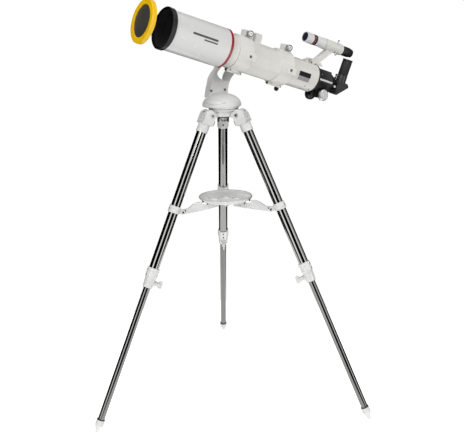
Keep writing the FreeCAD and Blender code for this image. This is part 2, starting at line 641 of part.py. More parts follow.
def focuser_body():
    """Rear flange, six-sided housing, pinion box beneath it and the spigot inside the tube."""
    flange = turned([(TUBE_REAR - 9, 0), (TUBE_REAR - 9, TUBE_RADIUS - 3), (TUBE_REAR - 6, TUBE_RADIUS),
                     (TUBE_REAR, TUBE_RADIUS), (TUBE_REAR, TUBE_RADIUS - TUBE_WALL), (-362, TUBE_RADIUS - TUBE_WALL),
                     (-362, 0)])
    housing = hexagon(HEX_APOTHEM, FOCUSER_END, TUBE_REAR - 2)
    box = block((-443, -398), (-23, 23), (-57, -30))
    box = soften(box, 5, lambda edge: runs_along(edge, Y_AXIS))
    bearings = rod(9, (PINION_STATION, -27, PINION_DROP), Y_AXIS, 54)
    lock_boss = rod(6, (LOCK_STATION, LOCK_OFFSET, -57), Z_AXIS, 24)
    body = fuse_all([flange, housing, box, bearings, lock_boss])
    body = body.cut(rod(DRAWTUBE_RADIUS + 0.1, (-470, 0, 0), X_AXIS, 120))
    body = body.cut(block((-470, -330), (-5, 5), (-42.5, -30)))
    body = body.cut(rod(10.5, (PINION_STATION, -9, PINION_DROP), Y_AXIS, 18))
    body = body.cut(rod(PINION_SHAFT_RADIUS + RUNNING_GAP, (PINION_STATION, -40, PINION_DROP), Y_AXIS, 80))
    return on_tube(body.cut(rod(2.2, (LOCK_STATION, LOCK_OFFSET, -60), Z_AXIS, 30)))


def drawtube():
    """Sliding tube with a rack beneath and a tapered end that takes the diagonal."""
    tube = pipe(DRAWTUBE_RADIUS, DRAWTUBE_RADIUS - 2, (FOCUSER_END, 0, 0), X_AXIS, DRAWTUBE_FRONT - FOCUSER_END)
    taper = turned([(FOCUSER_END - 0.6, DRAWTUBE_RADIUS - 2), (FOCUSER_END - 0.6, HEX_APOTHEM - 0.5),
                    (FOCUSER_END - 6, HEX_APOTHEM - 1), (-468, 30), (ADAPTER_END + 4, 24), (ADAPTER_END, 23),
                    (ADAPTER_END, 15.95), (-462, 15.95), (-455, DRAWTUBE_RADIUS - 2)])
    sleeve = pipe(DRAWTUBE_RADIUS, DRAWTUBE_RADIUS - 2, (FOCUSER_END - 1, 0, 0), X_AXIS, 2)
    return on_tube(fuse_all([tube, sleeve, taper, rack()]))


def rack():
    """Toothed bar along the bottom of the drawtube, in mesh with the pinion."""
    pitch = math.pi * GEAR_MODULE
    root = -PITCH_LINE + 1.0
    bar = block(RACK_SPAN, (-4, 4), (root, -DRAWTUBE_RADIUS + 1.5))
    tooth = prism([(-0.95, root + 0.1), (0.95, root + 0.1), (0.3, root - 1.7), (-0.3, root - 1.7)], 8)
    first = math.ceil((RACK_SPAN[0] + 1 - PINION_STATION) / pitch)
    last = math.floor((RACK_SPAN[1] - 1 - PINION_STATION) / pitch)
    teeth = []
    for step in range(first, last):
        copy = tooth.copy()
        copy.translate(Vec(PINION_STATION + (step + 0.5) * pitch, 0, 0))
        teeth.append(copy)
    return fuse_all([bar] + teeth)


def pinion_shaft():
    """Cross shaft with a spur pinion in the middle; one tooth points straight up at rest."""
    shaft = rod(PINION_SHAFT_RADIUS, (0, -40, 0), Y_AXIS, 80)
    wheel = rod(PITCH_RADIUS - 1.0, (0, -8, 0), Y_AXIS, 16)
    tooth = prism([(-0.95, 6.5), (0.95, 6.5), (0.3, PITCH_RADIUS + 0.7), (-0.3, PITCH_RADIUS + 0.7)], 16)
    teeth = []
    for step in range(PINION_TEETH):
        copy = tooth.copy()
        copy.rotate(ORIGIN, Y_AXIS, step * 360 / PINION_TEETH)
        teeth.append(copy)
    pinion = fuse_all([shaft, wheel] + teeth)
    pinion.translate(Vec(PINION_STATION, 0, PINION_DROP))
    return on_tube(pinion)


def focus_knobs():
    """A smooth round knob at each end of the pinion shaft."""
    knobs = []
    for side in (-1, 1):
        outline = [(0, PINION_SHAFT_RADIUS), (0, FOCUS_KNOB_RADIUS - 3), (1, FOCUS_KNOB_RADIUS - 1),
                   (2.5, FOCUS_KNOB_RADIUS), (9, FOCUS_KNOB_RADIUS), (11.5, FOCUS_KNOB_RADIUS - 1),
                   (FOCUS_KNOB_WIDTH, FOCUS_KNOB_RADIUS - 3), (FOCUS_KNOB_WIDTH, PINION_SHAFT_RADIUS)]
        knobs.append(turned(outline, (PINION_STATION, FOCUS_KNOB_START * side, PINION_DROP), Y_AXIS * side))
    return on_tube(Part.makeCompound(knobs))


def focus_lock_screw():
    """Thumb screw under the housing that holds the drawtube still."""
    screw = rod(2.1, (LOCK_STATION, LOCK_OFFSET, -62), Z_AXIS, 28)
    grip = rod(LOCK_GRIP_RADIUS, (LOCK_STATION, LOCK_OFFSET, -68), Z_AXIS, 9.5)
    return on_tube(fluted(screw.fuse(grip), (LOCK_STATION, LOCK_OFFSET, -69), Z_AXIS, LOCK_GRIP_RADIUS, 6, 12))


def rolled(shape):
    """Turn a shape about the optical axis to the diagonal's rest angle."""
    placed = shape.copy()
    placed.rotate(ORIGIN, X_AXIS, -DIAGONAL_ROLL)
    return placed


def star_diagonal():
    """Right-angle housing with a nose in the drawtube and a socket for the eyepiece."""
    x = EYEPIECE_STATION
    body = prism([(-492, -24), (-492, 16), (-495, 20), (x - 19, 20), (x - 28, 12), (x - 28, 7), (-500, -29),
                  (-497, -29)], 38)
    body = soften(body, 2.0, lambda edge: runs_along(edge, Y_AXIS))
    nose = rod(EYEPIECE_BARREL_RADIUS, (-493, 0, 0), X_AXIS, 30)
    collar = rod(19, (-493, 0, 0), X_AXIS, 5.5)
    socket = rod(18.2, (x, 0, 18), Z_AXIS, 26)
    lip = rod(19, (x, 0, 19), Z_AXIS, 3)
    body = fuse_all([body, nose, collar, socket, lip])
    light_in = rod(13.5, (x, 0, 0), X_AXIS, 60)
    light_out = rod(13.5, (x, 0, 0), Z_AXIS, 60)
    mirror_room = tilted_plate(30, 30, 12)
    body = body.cut(light_in.fuse(light_out).cut(mirror_room))
    body = body.cut(rod(EYEPIECE_BARREL_RADIUS + 0.1, (x, 0, 22), Z_AXIS, 30))
    body = body.cut(tilted_plate(MIRROR_HALF_LENGTH + 0.2, MIRROR_HALF_WIDTH + 0.2, 3.2))
    screws = [rod(2.0, (x, 0, height), X_AXIS, 30) for height in GRIP_SCREW_HEIGHTS]
    return on_tube(rolled(body.cut(Part.makeCompound(screws))))


def tilted_plate(half_length, half_width, thickness):
    """Plate whose front face is the 45 degree mirror plane through the turning point."""
    plate = block((-half_length, half_length), (-half_width, half_width), (-thickness, 0))
    plate.rotate(ORIGIN, Y_AXIS, 45)
    plate.translate(Vec(EYEPIECE_STATION, 0, 0))
    return plate


def diagonal_mirror():
    """Flat mirror at 45 degrees inside the housing."""
    return on_tube(rolled(tilted_plate(MIRROR_HALF_LENGTH, MIRROR_HALF_WIDTH, 3)))


def diagonal_thumbscrews():
    """Two small screws that grip the eyepiece barrel."""
    screws = []
    for height in GRIP_SCREW_HEIGHTS:
        shank = rod(1.95, (EYEPIECE_STATION + EYEPIECE_BARREL_RADIUS + 0.3, 0, height), X_AXIS, 8)
        grip = rod(4.2, (EYEPIECE_STATION + 22, 0, height), X_AXIS, 7)
        screws.append(shank.fuse(grip))
    return on_tube(rolled(Part.makeCompound(screws)))


def eyepiece():
    """Barrel, body with a grip ring, lenses' bore and a rolled eye guard."""
    profile = [(22.5, 13.5), (22.5, EYEPIECE_BARREL_RADIUS), (44.4, EYEPIECE_BARREL_RADIUS), (44.4, 16.6),
               (52, 16.6), (53, 15.8), (62, 15.8), (63, 16.6), (80, 16.6), (82, 15.4), (93, 15.4),
               (96, 17.2), (100.5, 17.4), (100.5, 13), (94, 11), (92, 11), (92, 0), (88, 0), (88, 12), (26, 12)]
    return on_tube(rolled(turned(profile, (EYEPIECE_STATION, 0, 0), Z_AXIS)))


# ---------------------------------------------------------------- finder
def finder_bracket():
    """Sleeve round the finder, slanted stalk, clamp foot and the shoe on the tube."""
    low, high = FINDER_SLEEVE
    sleeve = pipe(19, 17, (low, 0, FINDER_HEIGHT), X_AXIS, high - low)
    stalk = prism([(-345, 54), (-392, 54), (-443, FINDER_HEIGHT - 17.6), (-414, FINDER_HEIGHT - 17.6), (-376, 66),
                   (-345, 62)], 18)
    foot = block((-399, -340), (-15, 15), (50, 57))
    shoe = block((-402, -338), (-19, 19), (44, 50.5))
    shoe = shoe.cut(rod(TUBE_RADIUS, (-420, 0, 0), X_AXIS, 100))
    bracket = fuse_all([sleeve, stalk, foot, shoe])
    return on_tube(bracket.cut(alignment_holes(2.0)))


def alignment_holes(radius):
    """Radial rods at the three screw places of the sleeve."""
    rods = []
    for step in range(3):
        hole = rod(radius, (SCREW_STATION, 0, 10), Z_AXIS, 30)
        hole.rotate(ORIGIN, X_AXIS, SCREW_ANGLE + 120 * step)
        hole.translate(Vec(0, 0, FINDER_HEIGHT))
        rods.append(hole)
    return Part.makeCompound(rods)


def finder_screws():
    """Three alignment screws with small knurled heads."""
    screws = []
    for step in range(3):
        shank = rod(1.9, (SCREW_STATION, 0, FINDER_RADIUS - 1.9), Z_AXIS, 12)
        grip = rod(3.4, (SCREW_STATION, 0, 24.5), Z_AXIS, 5)
        screw = shank.fuse(grip)
        screw.rotate(ORIGIN, X_AXIS, SCREW_ANGLE + 120 * step)
        screw.translate(Vec(0, 0, FINDER_HEIGHT))
        screws.append(screw)
    return on_tube(Part.makeCompound(screws))


def finder_tube():
    """Objective cell, cone and the tube that runs back through the sleeve."""
    profile = [(-313, 15.4), (-313, 17.2), (-314, 17.8), (-349, 17.8), (-350, 16.2), (-357, 16.2), (-358, 17.2),
               (-378, 17.6), (-398, 18.8), (-398.6, 14), (-478, 14), (-478, 12), (-484, 12), (-484, 10),
               (-400, 10), (-396, 13), (-350, 14.5), (-322, 15.4)]
    return on_tube(turned(profile, (0, 0, FINDER_HEIGHT)))


def finder_eyepiece():
    """Black eyepiece that turns to focus."""
    profile = [(-480.6, 12.1), (-480.6, 15.2), (-483, 16), (-520, 16), (-524, 14.5), (-530, 14), (-530, 9),
               (-526, 7), (-524, 0), (-521, 0), (-520, 8), (-485, 12.1)]
    return on_tube(turned(profile, (0, 0, FINDER_HEIGHT)))


# ---------------------------------------------------------------- solar filter
def filter_cell():
    """Push-on ring: a skirt that slips over the dew shield's rim, and a window plate."""
    rear, front = FILTER_SPAN
    cell = turned([(rear, FILTER_RECESS_RADIUS), (rear, FILTER_RADIUS - 0.4), (rear + 0.4, FILTER_RADIUS),
                   (front - 1.5, FILTER_RADIUS), (front, FILTER_RADIUS - 1.5), (front, FILTER_WINDOW_RADIUS + 1),
                   (front - 1, FILTER_WINDOW_RADIUS), (front - 3.5, FILTER_WINDOW_RADIUS),
                   (front - 3.5, FILTER_RECESS_RADIUS)])
    return on_tube(cell)


def filter_film():
    """Thin film glued behind the window plate."""
    return on_tube(rod(58, (FILTER_SPAN[1] - 4.2, 0, 0), X_AXIS, 0.7))


# ---------------------------------------------------------------- legs
def leg_bracket(index):
    """Top casting: two ears round the hub's lug and a socket for the upper tube."""
    half = BRACKET_HALF_WIDTH
    side = [(-19, -12), (-19, 4), (-12, 14), (-2, 18), (38, BRACKET_DEPTH), (SOCKET_END, BRACKET_DEPTH),
            (SOCKET_END, -BRACKET_DEPTH), (36, -BRACKET_DEPTH), (24, -22), (4, -22), (-8, -18)]
    body = prism(side, 2 * half)
    body = soften(body, 4, lambda edge: runs_along(edge, Z_AXIS))
    neck = block((30, 90), (-60, 60), (-60, 60)).cut(rod(18.8, (20, 0, 0), X_AXIS, 80))
    body = body.cut(neck)
    panel = block((2, 26), (-13, 13), (16.6, 22))
    body = on_leg(body.cut(panel), index)
    socket = rod(UPPER_RADIUS, (SOCKET_BOTTOM, 0, 0), X_AXIS, 60)
    return body.cut(round_the_hub(lug_room(), index)).cut(on_leg(socket, index))


def lug_room():
    """Space round the hub's lug and body that the bracket folds in, and the pivot hole."""
    top = LEG_PIVOT_HEIGHT + 60
    room = block((-10, LEG_PIVOT_REACH), (-EAR_INNER, EAR_INNER), (LEG_PIVOT_HEIGHT - LUG_RADIUS - 6, top))
    nose = rod(LUG_RADIUS + 1.2, (LEG_PIVOT_REACH, -EAR_INNER, LEG_PIVOT_HEIGHT), Y_AXIS, 2 * EAR_INNER)
    ahead = block((LEG_PIVOT_REACH - 1, LEG_PIVOT_REACH + 9), (-EAR_INNER, EAR_INNER), (LEG_PIVOT_HEIGHT, top))
    hole = rod(PIVOT_BOLT_RADIUS + RUNNING_GAP, (LEG_PIVOT_REACH, -40, LEG_PIVOT_HEIGHT), Y_AXIS, 80)
    hub = rod(HUB_RADIUS + 3.5, (0, 0, HUB_BOSS_BOTTOM - 6), Z_AXIS, 60)
    flange = rod(HUB_FLANGE_RADIUS + 1.5, (0, 0, HUB_FLANGE_BOTTOM - 5), Z_AXIS, 40)
    return fuse_all([room, nose, ahead, hole, hub, flange])


def upper_leg(index):
    """Polished steel upper tube, from the bottom of its socket to the step inside the clamp."""
    length = CLAMP_STEP - 1 - SOCKET_BOTTOM
    return on_leg(pipe(UPPER_RADIUS, UPPER_RADIUS - UPPER_WALL, (SOCKET_BOTTOM, 0, 0), X_AXIS, length), index)


def leg_collar(index):
    """Ring on the upper tube with a forked lug and its pin for the spreader arm."""
    low, high = COLLAR_SPAN
    link_x, link_z = leg_station(LINK_REACH, LINK_HEIGHT)
    ring = rod(19.4, (low, 0, 0), X_AXIS, high - low)
    lug = block((link_x - 7.5, link_x + 7.5), (-8, 8), (link_z, -14)).fuse(
        rod(7.5, (link_x, -8, link_z), Y_AXIS, 16))
    slot = block((low - 5, high + 5), (-ARM_HALF_THICKNESS - 0.6, ARM_HALF_THICKNESS + 0.6), (link_z - 20, -19.6))
    pin = rod(LINK_PIN_RADIUS, (link_x, -9.5, link_z), Y_AXIS, 19)
    collar = ring.fuse(lug).cut(slot).fuse(pin)
    return on_leg(collar.cut(rod(UPPER_RADIUS, (low - 5, 0, 0), X_AXIS, 40)), index)


def leg_clamp(index):
    """Casting at the end of the upper tube: wide sleeve, narrow sleeve and a boss for the thumb screw."""
    low, high = CLAMP_SPAN
    sleeve = turned([(low, 0), (low, 18.6), (low + 1.5, 19.6), (CLAMP_STEP - 6, 19.6), (CLAMP_STEP, 17.2),
                     (high - 1.5, 15.6), (high, 14.4), (high, 0)])
    boss = rod(8.5, (CLAMP_SCREW_STATION, 0, -27), Z_AXIS, 24)
    clamp = fuse_all([sleeve, boss])
    clamp = clamp.cut(rod(UPPER_RADIUS, (low - 1, 0, 0), X_AXIS, CLAMP_STEP - low))
    clamp = clamp.cut(rod(LOWER_RADIUS + RUNNING_GAP, (low, 0, 0), X_AXIS, 90))
    return on_leg(clamp.cut(rod(3.1, (CLAMP_SCREW_STATION, 0, -30), Z_AXIS, 25)), index)


def clamp_screw(index):
    """Wing screw that pinches the lower tube."""
    station = CLAMP_SCREW_STATION
    shank = rod(3.0, (station, 0, -38), Z_AXIS, 26.5)
    hub = rod(6, (station, 0, -40), Z_AXIS, 11)
    wing = prism([(-5, -32), (5, -32), (13, -44), (10, -50), (-10, -50), (-13, -44)], 4.4)
    wing.translate(Vec(station, 0, 0))
    return on_leg(fuse_all([shank, hub, wing]), index)


def lower_leg(index):
    """Steel lower tube with a swelled top end that can't pass the clamp."""
    tube = pipe(LOWER_RADIUS, LOWER_RADIUS - LOWER_WALL, (LOWER_TOP, 0, 0), X_AXIS, LOWER_END - LOWER_TOP)
    swell = pipe(UPPER_RADIUS - UPPER_WALL - 0.08, LOWER_RADIUS - LOWER_WALL, (LOWER_TOP, 0, 0), X_AXIS, 14)
    return on_leg(tube.fuse(swell).removeSplitter(), index)


def leg_foot(index):
    """Ferrule and rounded spike; the ball of the tip touches the floor."""
    tip = (LEG_TOP_HEIGHT - FOOT_BALL) / math.cos(math.radians(LEG_TILT))
    ferrule = turned([(LOWER_END - 6, LOWER_RADIUS), (LOWER_END - 6, 12.6), (LOWER_END - 4, 13.6),
                      (LOWER_END + 11, 13.6), (tip - 3, FOOT_BALL + 0.4), (tip, FOOT_BALL), (tip, 0),
                      (LOWER_END + 0.2, 0), (LOWER_END + 0.2, LOWER_RADIUS)])
    ball = Part.makeSphere(FOOT_BALL, Vec(tip, 0, 0))
    return on_leg(ferrule.fuse(ball), index)


# ---------------------------------------------------------------- spreader
def spreader_arm(index):
    """Tapered blade from the leg's lug to the space under the tray."""
    outline = [(LINK_REACH + 6, LINK_HEIGHT - 3), (LINK_REACH + 5, LINK_HEIGHT + 5),
               (LINK_REACH - 3, LINK_HEIGHT + 8), (146, 690), (126, 702), (110, 706), (96, 705), (93, 695),
               (60, 690), (ARM_INNER_REACH, 688),
               (ARM_INNER_REACH, 680), (60, 677), (100, 675), (LINK_REACH - 12, LINK_HEIGHT - 8),
               (LINK_REACH, LINK_HEIGHT - 8)]
    blade = prism(outline, 2 * ARM_HALF_THICKNESS)
    hole = rod(LINK_PIN_RADIUS + RUNNING_GAP, (LINK_REACH, -10, LINK_HEIGHT), Y_AXIS, 20)
    return round_the_hub(blade.cut(hole), index)


def accessory_tray():
    """Dished round tray with a raised edge, eyepiece holes and guides for the arms beneath."""
    dish = turned([(TRAY_BOTTOM, 0), (TRAY_BOTTOM, TRAY_UNDER_RADIUS), (TRAY_BOTTOM + 7, TRAY_RADIUS - 2),
                   (TRAY_TOP - 2, TRAY_RADIUS), (TRAY_TOP, TRAY_RADIUS - 1.5), (TRAY_TOP - 0.5, TRAY_RADIUS - 4),
                   (TRAY_TOP - 5, TRAY_RADIUS - 7), (TRAY_TOP - 9, TRAY_UNDER_RADIUS - 6), (TRAY_TOP - 9, 17),
                   (TRAY_TOP - 5, 14), (TRAY_TOP - 5, 0)], direction=Z_AXIS)
    boss = rod(9, (0, 0, TRAY_BOTTOM - 22), Z_AXIS, 22)
    guides = []
    for index in range(LEG_COUNT):
        for side in (-1, 1):
            face = side * (ARM_HALF_THICKNESS + 1.2)
            guide = block((56, 71), ordered(face, face + side * 3), (TRAY_BOTTOM - 14, TRAY_BOTTOM + 1))
            guides.append(round_the_hub(guide, index))
    tray = fuse_all([dish, boss] + guides)
    return tray.cut(Part.makeCompound(tray_holes()))


def tray_holes():
    """Two eyepiece holes, one beside each of the arms on the +Y side."""
    holes = []
    for angle in EYEPIECE_HOLE_ANGLES:
        hole = rod(EYEPIECE_HOLE_RADIUS, (EYEPIECE_HOLE_REACH, 0, TRAY_BOTTOM - 5), Z_AXIS, 20)
        hole.rotate(ORIGIN, Z_AXIS, angle)
        holes.append(hole)
    return holes


def save(name, shape):
    """Write one sub-part."""
    shape.exportStep("parts/" + name + ".step")
    print(name, len(shape.Solids), round(shape.Volume), shape.isValid())


SINGLE_PARTS = (
    tripod_hub, leg_pivot_bolts, azimuth_spindle, azimuth_dome, mount_arm, arm_bolts,
    altitude_axle, altitude_knob, dovetail_bar, dovetail_saddle, saddle_knob,
    cradle_base, cradle_cover, cradle_hinge_pins, cradle_knobs,
    main_tube, lens_cell, objective_lenses, dew_shield, dew_rim,
    focuser_body, drawtube, pinion_shaft, focus_knobs, focus_lock_screw,
    star_diagonal, diagonal_mirror, diagonal_thumbscrews, eyepiece,
    finder_bracket, finder_screws, finder_tube, finder_eyepiece,
    filter_cell, filter_film, accessory_tray,
)
LEG_PARTS = (leg_bracket, upper_leg, leg_collar, leg_clamp, clamp_screw, lower_leg, leg_foot, spreader_arm)


def main():
    os.makedirs("parts", exist_ok=True)
    for make in SINGLE_PARTS:
        save(make.__name__, make())
    for make in LEG_PARTS:
        for index in range(LEG_COUNT):
            save(make.__name__ + "_" + str(index + 1), make(index))


main()
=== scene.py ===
import json
import math

import bmesh
import bpy
from mathutils import Matrix, Vector


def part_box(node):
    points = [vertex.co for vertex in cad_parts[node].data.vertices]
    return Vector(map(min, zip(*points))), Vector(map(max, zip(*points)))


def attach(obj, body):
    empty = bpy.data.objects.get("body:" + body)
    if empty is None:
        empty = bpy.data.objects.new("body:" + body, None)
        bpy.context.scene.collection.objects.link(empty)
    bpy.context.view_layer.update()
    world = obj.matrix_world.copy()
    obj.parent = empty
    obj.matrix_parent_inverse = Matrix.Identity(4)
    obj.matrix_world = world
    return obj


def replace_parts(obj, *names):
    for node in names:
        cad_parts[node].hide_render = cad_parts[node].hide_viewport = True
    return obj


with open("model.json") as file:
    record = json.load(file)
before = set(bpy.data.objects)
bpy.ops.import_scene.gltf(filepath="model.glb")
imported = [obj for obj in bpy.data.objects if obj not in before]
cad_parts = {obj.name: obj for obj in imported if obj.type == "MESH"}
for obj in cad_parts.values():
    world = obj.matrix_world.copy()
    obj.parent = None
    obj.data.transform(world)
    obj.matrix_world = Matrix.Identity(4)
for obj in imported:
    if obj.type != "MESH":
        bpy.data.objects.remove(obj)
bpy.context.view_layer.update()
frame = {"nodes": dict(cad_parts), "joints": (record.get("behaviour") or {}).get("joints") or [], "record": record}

NODES = frame["nodes"]
RECORD = frame["record"]
JOINTS = {joint["name"]: joint for joint in frame["joints"]}
MOUNTS = {mount["name"]: mount for mount in RECORD["mounts"]}
MM = 0.001
LEGS = (1, 2, 3)
CLAMP_SCREW = (568, 0, -38)         # where a leg's clamp screw sits in the leg's own millimetres


# ---------------------------------------------------------------- frames of the object's own parts
def frame_matrix(origin, x_axis, y_axis):
    """Matrix whose columns are a right-handed frame at origin."""
    x = Vector(x_axis).normalized()
    z = x.cross(Vector(y_axis)).normalized()
    y = z.cross(x)
    rotation = Matrix((x, y, z)).transposed().to_4x4()
    return Matrix.Translation(Vector(origin)) @ rotation


def tube_frame():
    """Frame on the optical axis over the mount: x forward, y to the near side, z up out of the tube."""
    rim = MOUNTS["front_rim"]
    point, along = Vector(rim["pos_m"]), Vector(rim["axis"]).normalized()
    origin = point - along * (point.x / along.x)
    return frame_matrix(origin, along, (0, 1, 0))


def leg_frame(index):
    """Frame of a leg: x down the leg, y across it, z out of its outer face, clamp screw at CLAMP_SCREW."""
    down = -Vector(JOINTS[f"leg_slide_{index}"]["axis"])
    across = Vector(JOINTS[f"leg_fold_{index}"]["axis"])
    matrix = frame_matrix((0, 0, 0), down, across)
    clamp = Vector(JOINTS[f"leg_lock_turn_{index}"]["pos_m"])
    origin = clamp - matrix.to_3x3() @ (Vector(CLAMP_SCREW) * MM)
    return Matrix.Translation(origin) @ matrix


def hub_frame(index):
    """Frame on the azimuth axis at floor level, x out over a leg."""
    across = Vector(JOINTS[f"leg_fold_{index}"]["axis"])
    outward = across.cross(Vector((0, 0, 1)))
    return frame_matrix((0, 0, 0), outward, across)


TUBE = tube_frame()
LEG = {index: leg_frame(index) for index in LEGS}
HUB = {index: hub_frame(index) for index in LEGS}


# ---------------------------------------------------------------- node materials
COLOUR_A, COLOUR_B, COLOUR_OUT = 6, 7, 2        # sockets of a Mix node that mixes colours


class Nodes:
    """Small helper that adds and links shader nodes."""

    def __init__(self, name):
        self.material = bpy.data.materials.new(name)
        self.material.use_nodes = True
        self.tree = self.material.node_tree
        self.shader = self.tree.nodes["Principled BSDF"]

    def add(self, kind, **values):
        node = self.tree.nodes.new(kind)
        for key, value in values.items():
            if hasattr(node, key):
                setattr(node, key, value)
            else:
                node.inputs[key.replace("_", " ")].default_value = value
        return node

    def link(self, source, target):
        self.tree.links.new(source, target)

    def place(self, matrix=None, stretch=(1, 1, 1)):
        """Object coordinates, in the frame of a part when its matrix is given."""
        coords = self.add("ShaderNodeTexCoord").outputs["Object"]
        if matrix is not None:
            inverse = matrix.inverted()
            turn = self.add("ShaderNodeMapping")
            turn.inputs["Location"].default_value = inverse.to_translation()
            turn.inputs["Rotation"].default_value = inverse.to_euler("XYZ")
            self.link(coords, turn.inputs["Vector"])
            coords = turn.outputs["Vector"]
        if stretch != (1, 1, 1):
            scale = self.add("ShaderNodeMapping")
            scale.inputs["Scale"].default_value = stretch
            self.link(coords, scale.inputs["Vector"])
            coords = scale.outputs["Vector"]
        return coords

    def noise(self, coords, scale, detail=4.0, roughness=0.55):
        node = self.add("ShaderNodeTexNoise", Scale=scale, Detail=detail, Roughness=roughness)
        self.link(coords, node.inputs["Vector"])
        return node.outputs["Fac"]

    def ramp(self, value, stops):
        """Colour ramp from (position, colour) stops."""
        node = self.add("ShaderNodeValToRGB")
        elements = node.color_ramp.elements
        while len(elements) < len(stops):
            elements.new(0.5)
        for element, (position, colour) in zip(elements, stops):
            element.position = position
            element.color = (*colour, 1.0)
        self.link(value, node.inputs["Fac"])
        return node.outputs["Color"]

    def spread(self, value, low, high, start=0.3, end=0.7):
        """Map a noise value to a range."""
        node = self.add("ShaderNodeMapRange")
        node.inputs["From Min"].default_value = start
        node.inputs["From Max"].default_value = end
        node.inputs["To Min"].default_value = low
        node.inputs["To Max"].default_value = high
        self.link(value, node.inputs["Value"])
        return node.outputs["Result"]

    def bump(self, height, strength, distance, normal=None):
        node = self.add("ShaderNodeBump", Strength=strength, Distance=distance)
        self.link(height, node.inputs["Height"])
        if normal is not None:
            self.link(normal, node.inputs["Normal"])
        return node.outputs["Normal"]

    def rounded(self, radius):
        """Normal with softly rounded edges."""
        node = self.add("ShaderNodeBevel", Radius=radius)
        node.samples = 4
        return node.outputs["Normal"]

    def mix(self, factor, first, second):
        """Mix two colours; each is a colour or a socket."""
        node = self.add("ShaderNodeMix", data_type="RGBA")
        self.link(factor, node.inputs["Factor"])
        for socket, value in ((node.inputs[COLOUR_A], first), (node.inputs[COLOUR_B], second)):
            if isinstance(value, tuple):
                socket.default_value = (*value, 1.0)
            else:
                self.link(value, socket)
        return node.outputs[COLOUR_OUT]

    def maths(self, operation, *values):
        node = self.add("ShaderNodeMath", operation=operation)
        for socket, value in zip(node.inputs, values):
            if isinstance(value, (int, float)):
                socket.default_value = value
            else:
                self.link(value, socket)
        return node.outputs[0]

    def inside(self, radius):
        """1 within a radius of the optical axis, 0 outside it."""
        split = self.add("ShaderNodeSeparateXYZ")
        self.link(self.place(TUBE), split.inputs[0])
        squares = [self.maths("POWER", split.outputs[axis], 2.0) for axis in ("Y", "Z")]
        distance = self.maths("SQRT", self.maths("ADD", *squares))
        return self.maths("LESS_THAN", distance, radius)

    def finish(self, colour, roughness, normal=None):
        for name, value in (("Base Color", colour), ("Roughness", roughness), ("Normal", normal)):
            if value is None:
                continue
            if isinstance(value, tuple):
                self.shader.inputs[name].default_value = (*value, 1.0)
            elif isinstance(value, (int, float)):
                self.shader.inputs[name].default_value = value
            else:
                self.link(value, self.shader.inputs[name])
        return self.material


def shade(colour, factor):
    return tuple(min(1.0, channel * factor) for channel in colour)


def powder_coat(name, colour, roughness=0.42, grain=900, strength=0.12):
    """Sprayed coat on a casting: fine pebbled surface, faint mottling, worn edges a little brighter."""
    n = Nodes(name)
    coords = n.place()
    mottle = n.noise(coords, 14, 5)
    body = n.ramp(mottle, [(0.3, shade(colour, 0.94)), (0.7, shade(colour, 1.04))])
    edge = n.add("ShaderNodeNewGeometry").outputs["Pointiness"]
    wear = n.spread(edge, 0.0, 0.6, 0.52, 0.6)
    tint = n.mix(wear, body, shade(colour, 1.12))
    normal = n.bump(n.noise(coords, grain, 2), strength, 0.0002, n.rounded(0.0006))
    n.shader.inputs["Coat Weight"].default_value = 0.15
    n.shader.inputs["Coat Roughness"].default_value = 0.25
    return n.finish(tint, n.spread(n.noise(coords, 60), roughness - 0.06, roughness + 0.06), normal)


def enamel(name, colour, lining_radius=None):
    """Gloss enamel on a tube, with its inside painted matt black when a lining radius is given."""
    n = Nodes(name)
    coords = n.place()
    body = n.ramp(n.noise(coords, 5, 2), [(0.3, shade(colour, 0.985)), (0.7, shade(colour, 1.01))])
    gloss = n.spread(n.noise(coords, 45), 0.24, 0.28)
    normal = n.bump(n.noise(coords, 520, 2), 0.02, 0.0001, n.rounded(0.0005))
    n.shader.inputs["Coat Weight"].default_value = 0.35
    n.shader.inputs["Coat Roughness"].default_value = 0.08
    if lining_radius:
        lining = n.inside(lining_radius)
        flock = n.ramp(n.noise(coords, 700, 2), [(0.3, (0.012, 0.012, 0.013)), (0.7, (0.028, 0.028, 0.03))])
        body = n.mix(lining, body, flock)
        gloss = n.maths("ADD", gloss, n.maths("MULTIPLY", lining, 0.55))
    return n.finish(body, gloss, normal)


def polished_steel(name, matrix, level, roughness=0.07):
    """Drawn and polished steel tube: fine grain along the leg and a few handling marks."""
    n = Nodes(name)
    grain = n.noise(n.place(matrix, (18, 900, 900)), 1.0, 3)
    smudge = n.noise(n.place(matrix), 22, 4)
    tint = (1, 1, 0.97)
    colour = n.ramp(grain, [(0.25, shade(tint, 0.86 * level)), (0.75, shade(tint, 1.14 * level))])
    polish = n.spread(grain, roughness - 0.02, roughness + 0.03)
    rough = n.maths("ADD", polish, n.spread(smudge, 0.0, 0.03))
    n.shader.inputs["Metallic"].default_value = 1.0
    return n.finish(colour, rough, n.bump(grain, 0.03, 0.0001))


def metal(name, colour, roughness=0.25, grain=300, strength=0.08):
    """Turned or plated metal with fine tool marks."""
    n = Nodes(name)
    coords = n.place()
    marks = n.noise(coords, grain, 3)
    tint = n.ramp(n.noise(coords, 35, 4), [(0.3, shade(colour, 0.88)), (0.7, shade(colour, 1.08))])
    n.shader.inputs["Metallic"].default_value = 1.0
    normal = n.bump(marks, strength, 0.0002, n.rounded(0.0003))
    return n.finish(tint, n.spread(marks, roughness - 0.05, roughness + 0.08), normal)


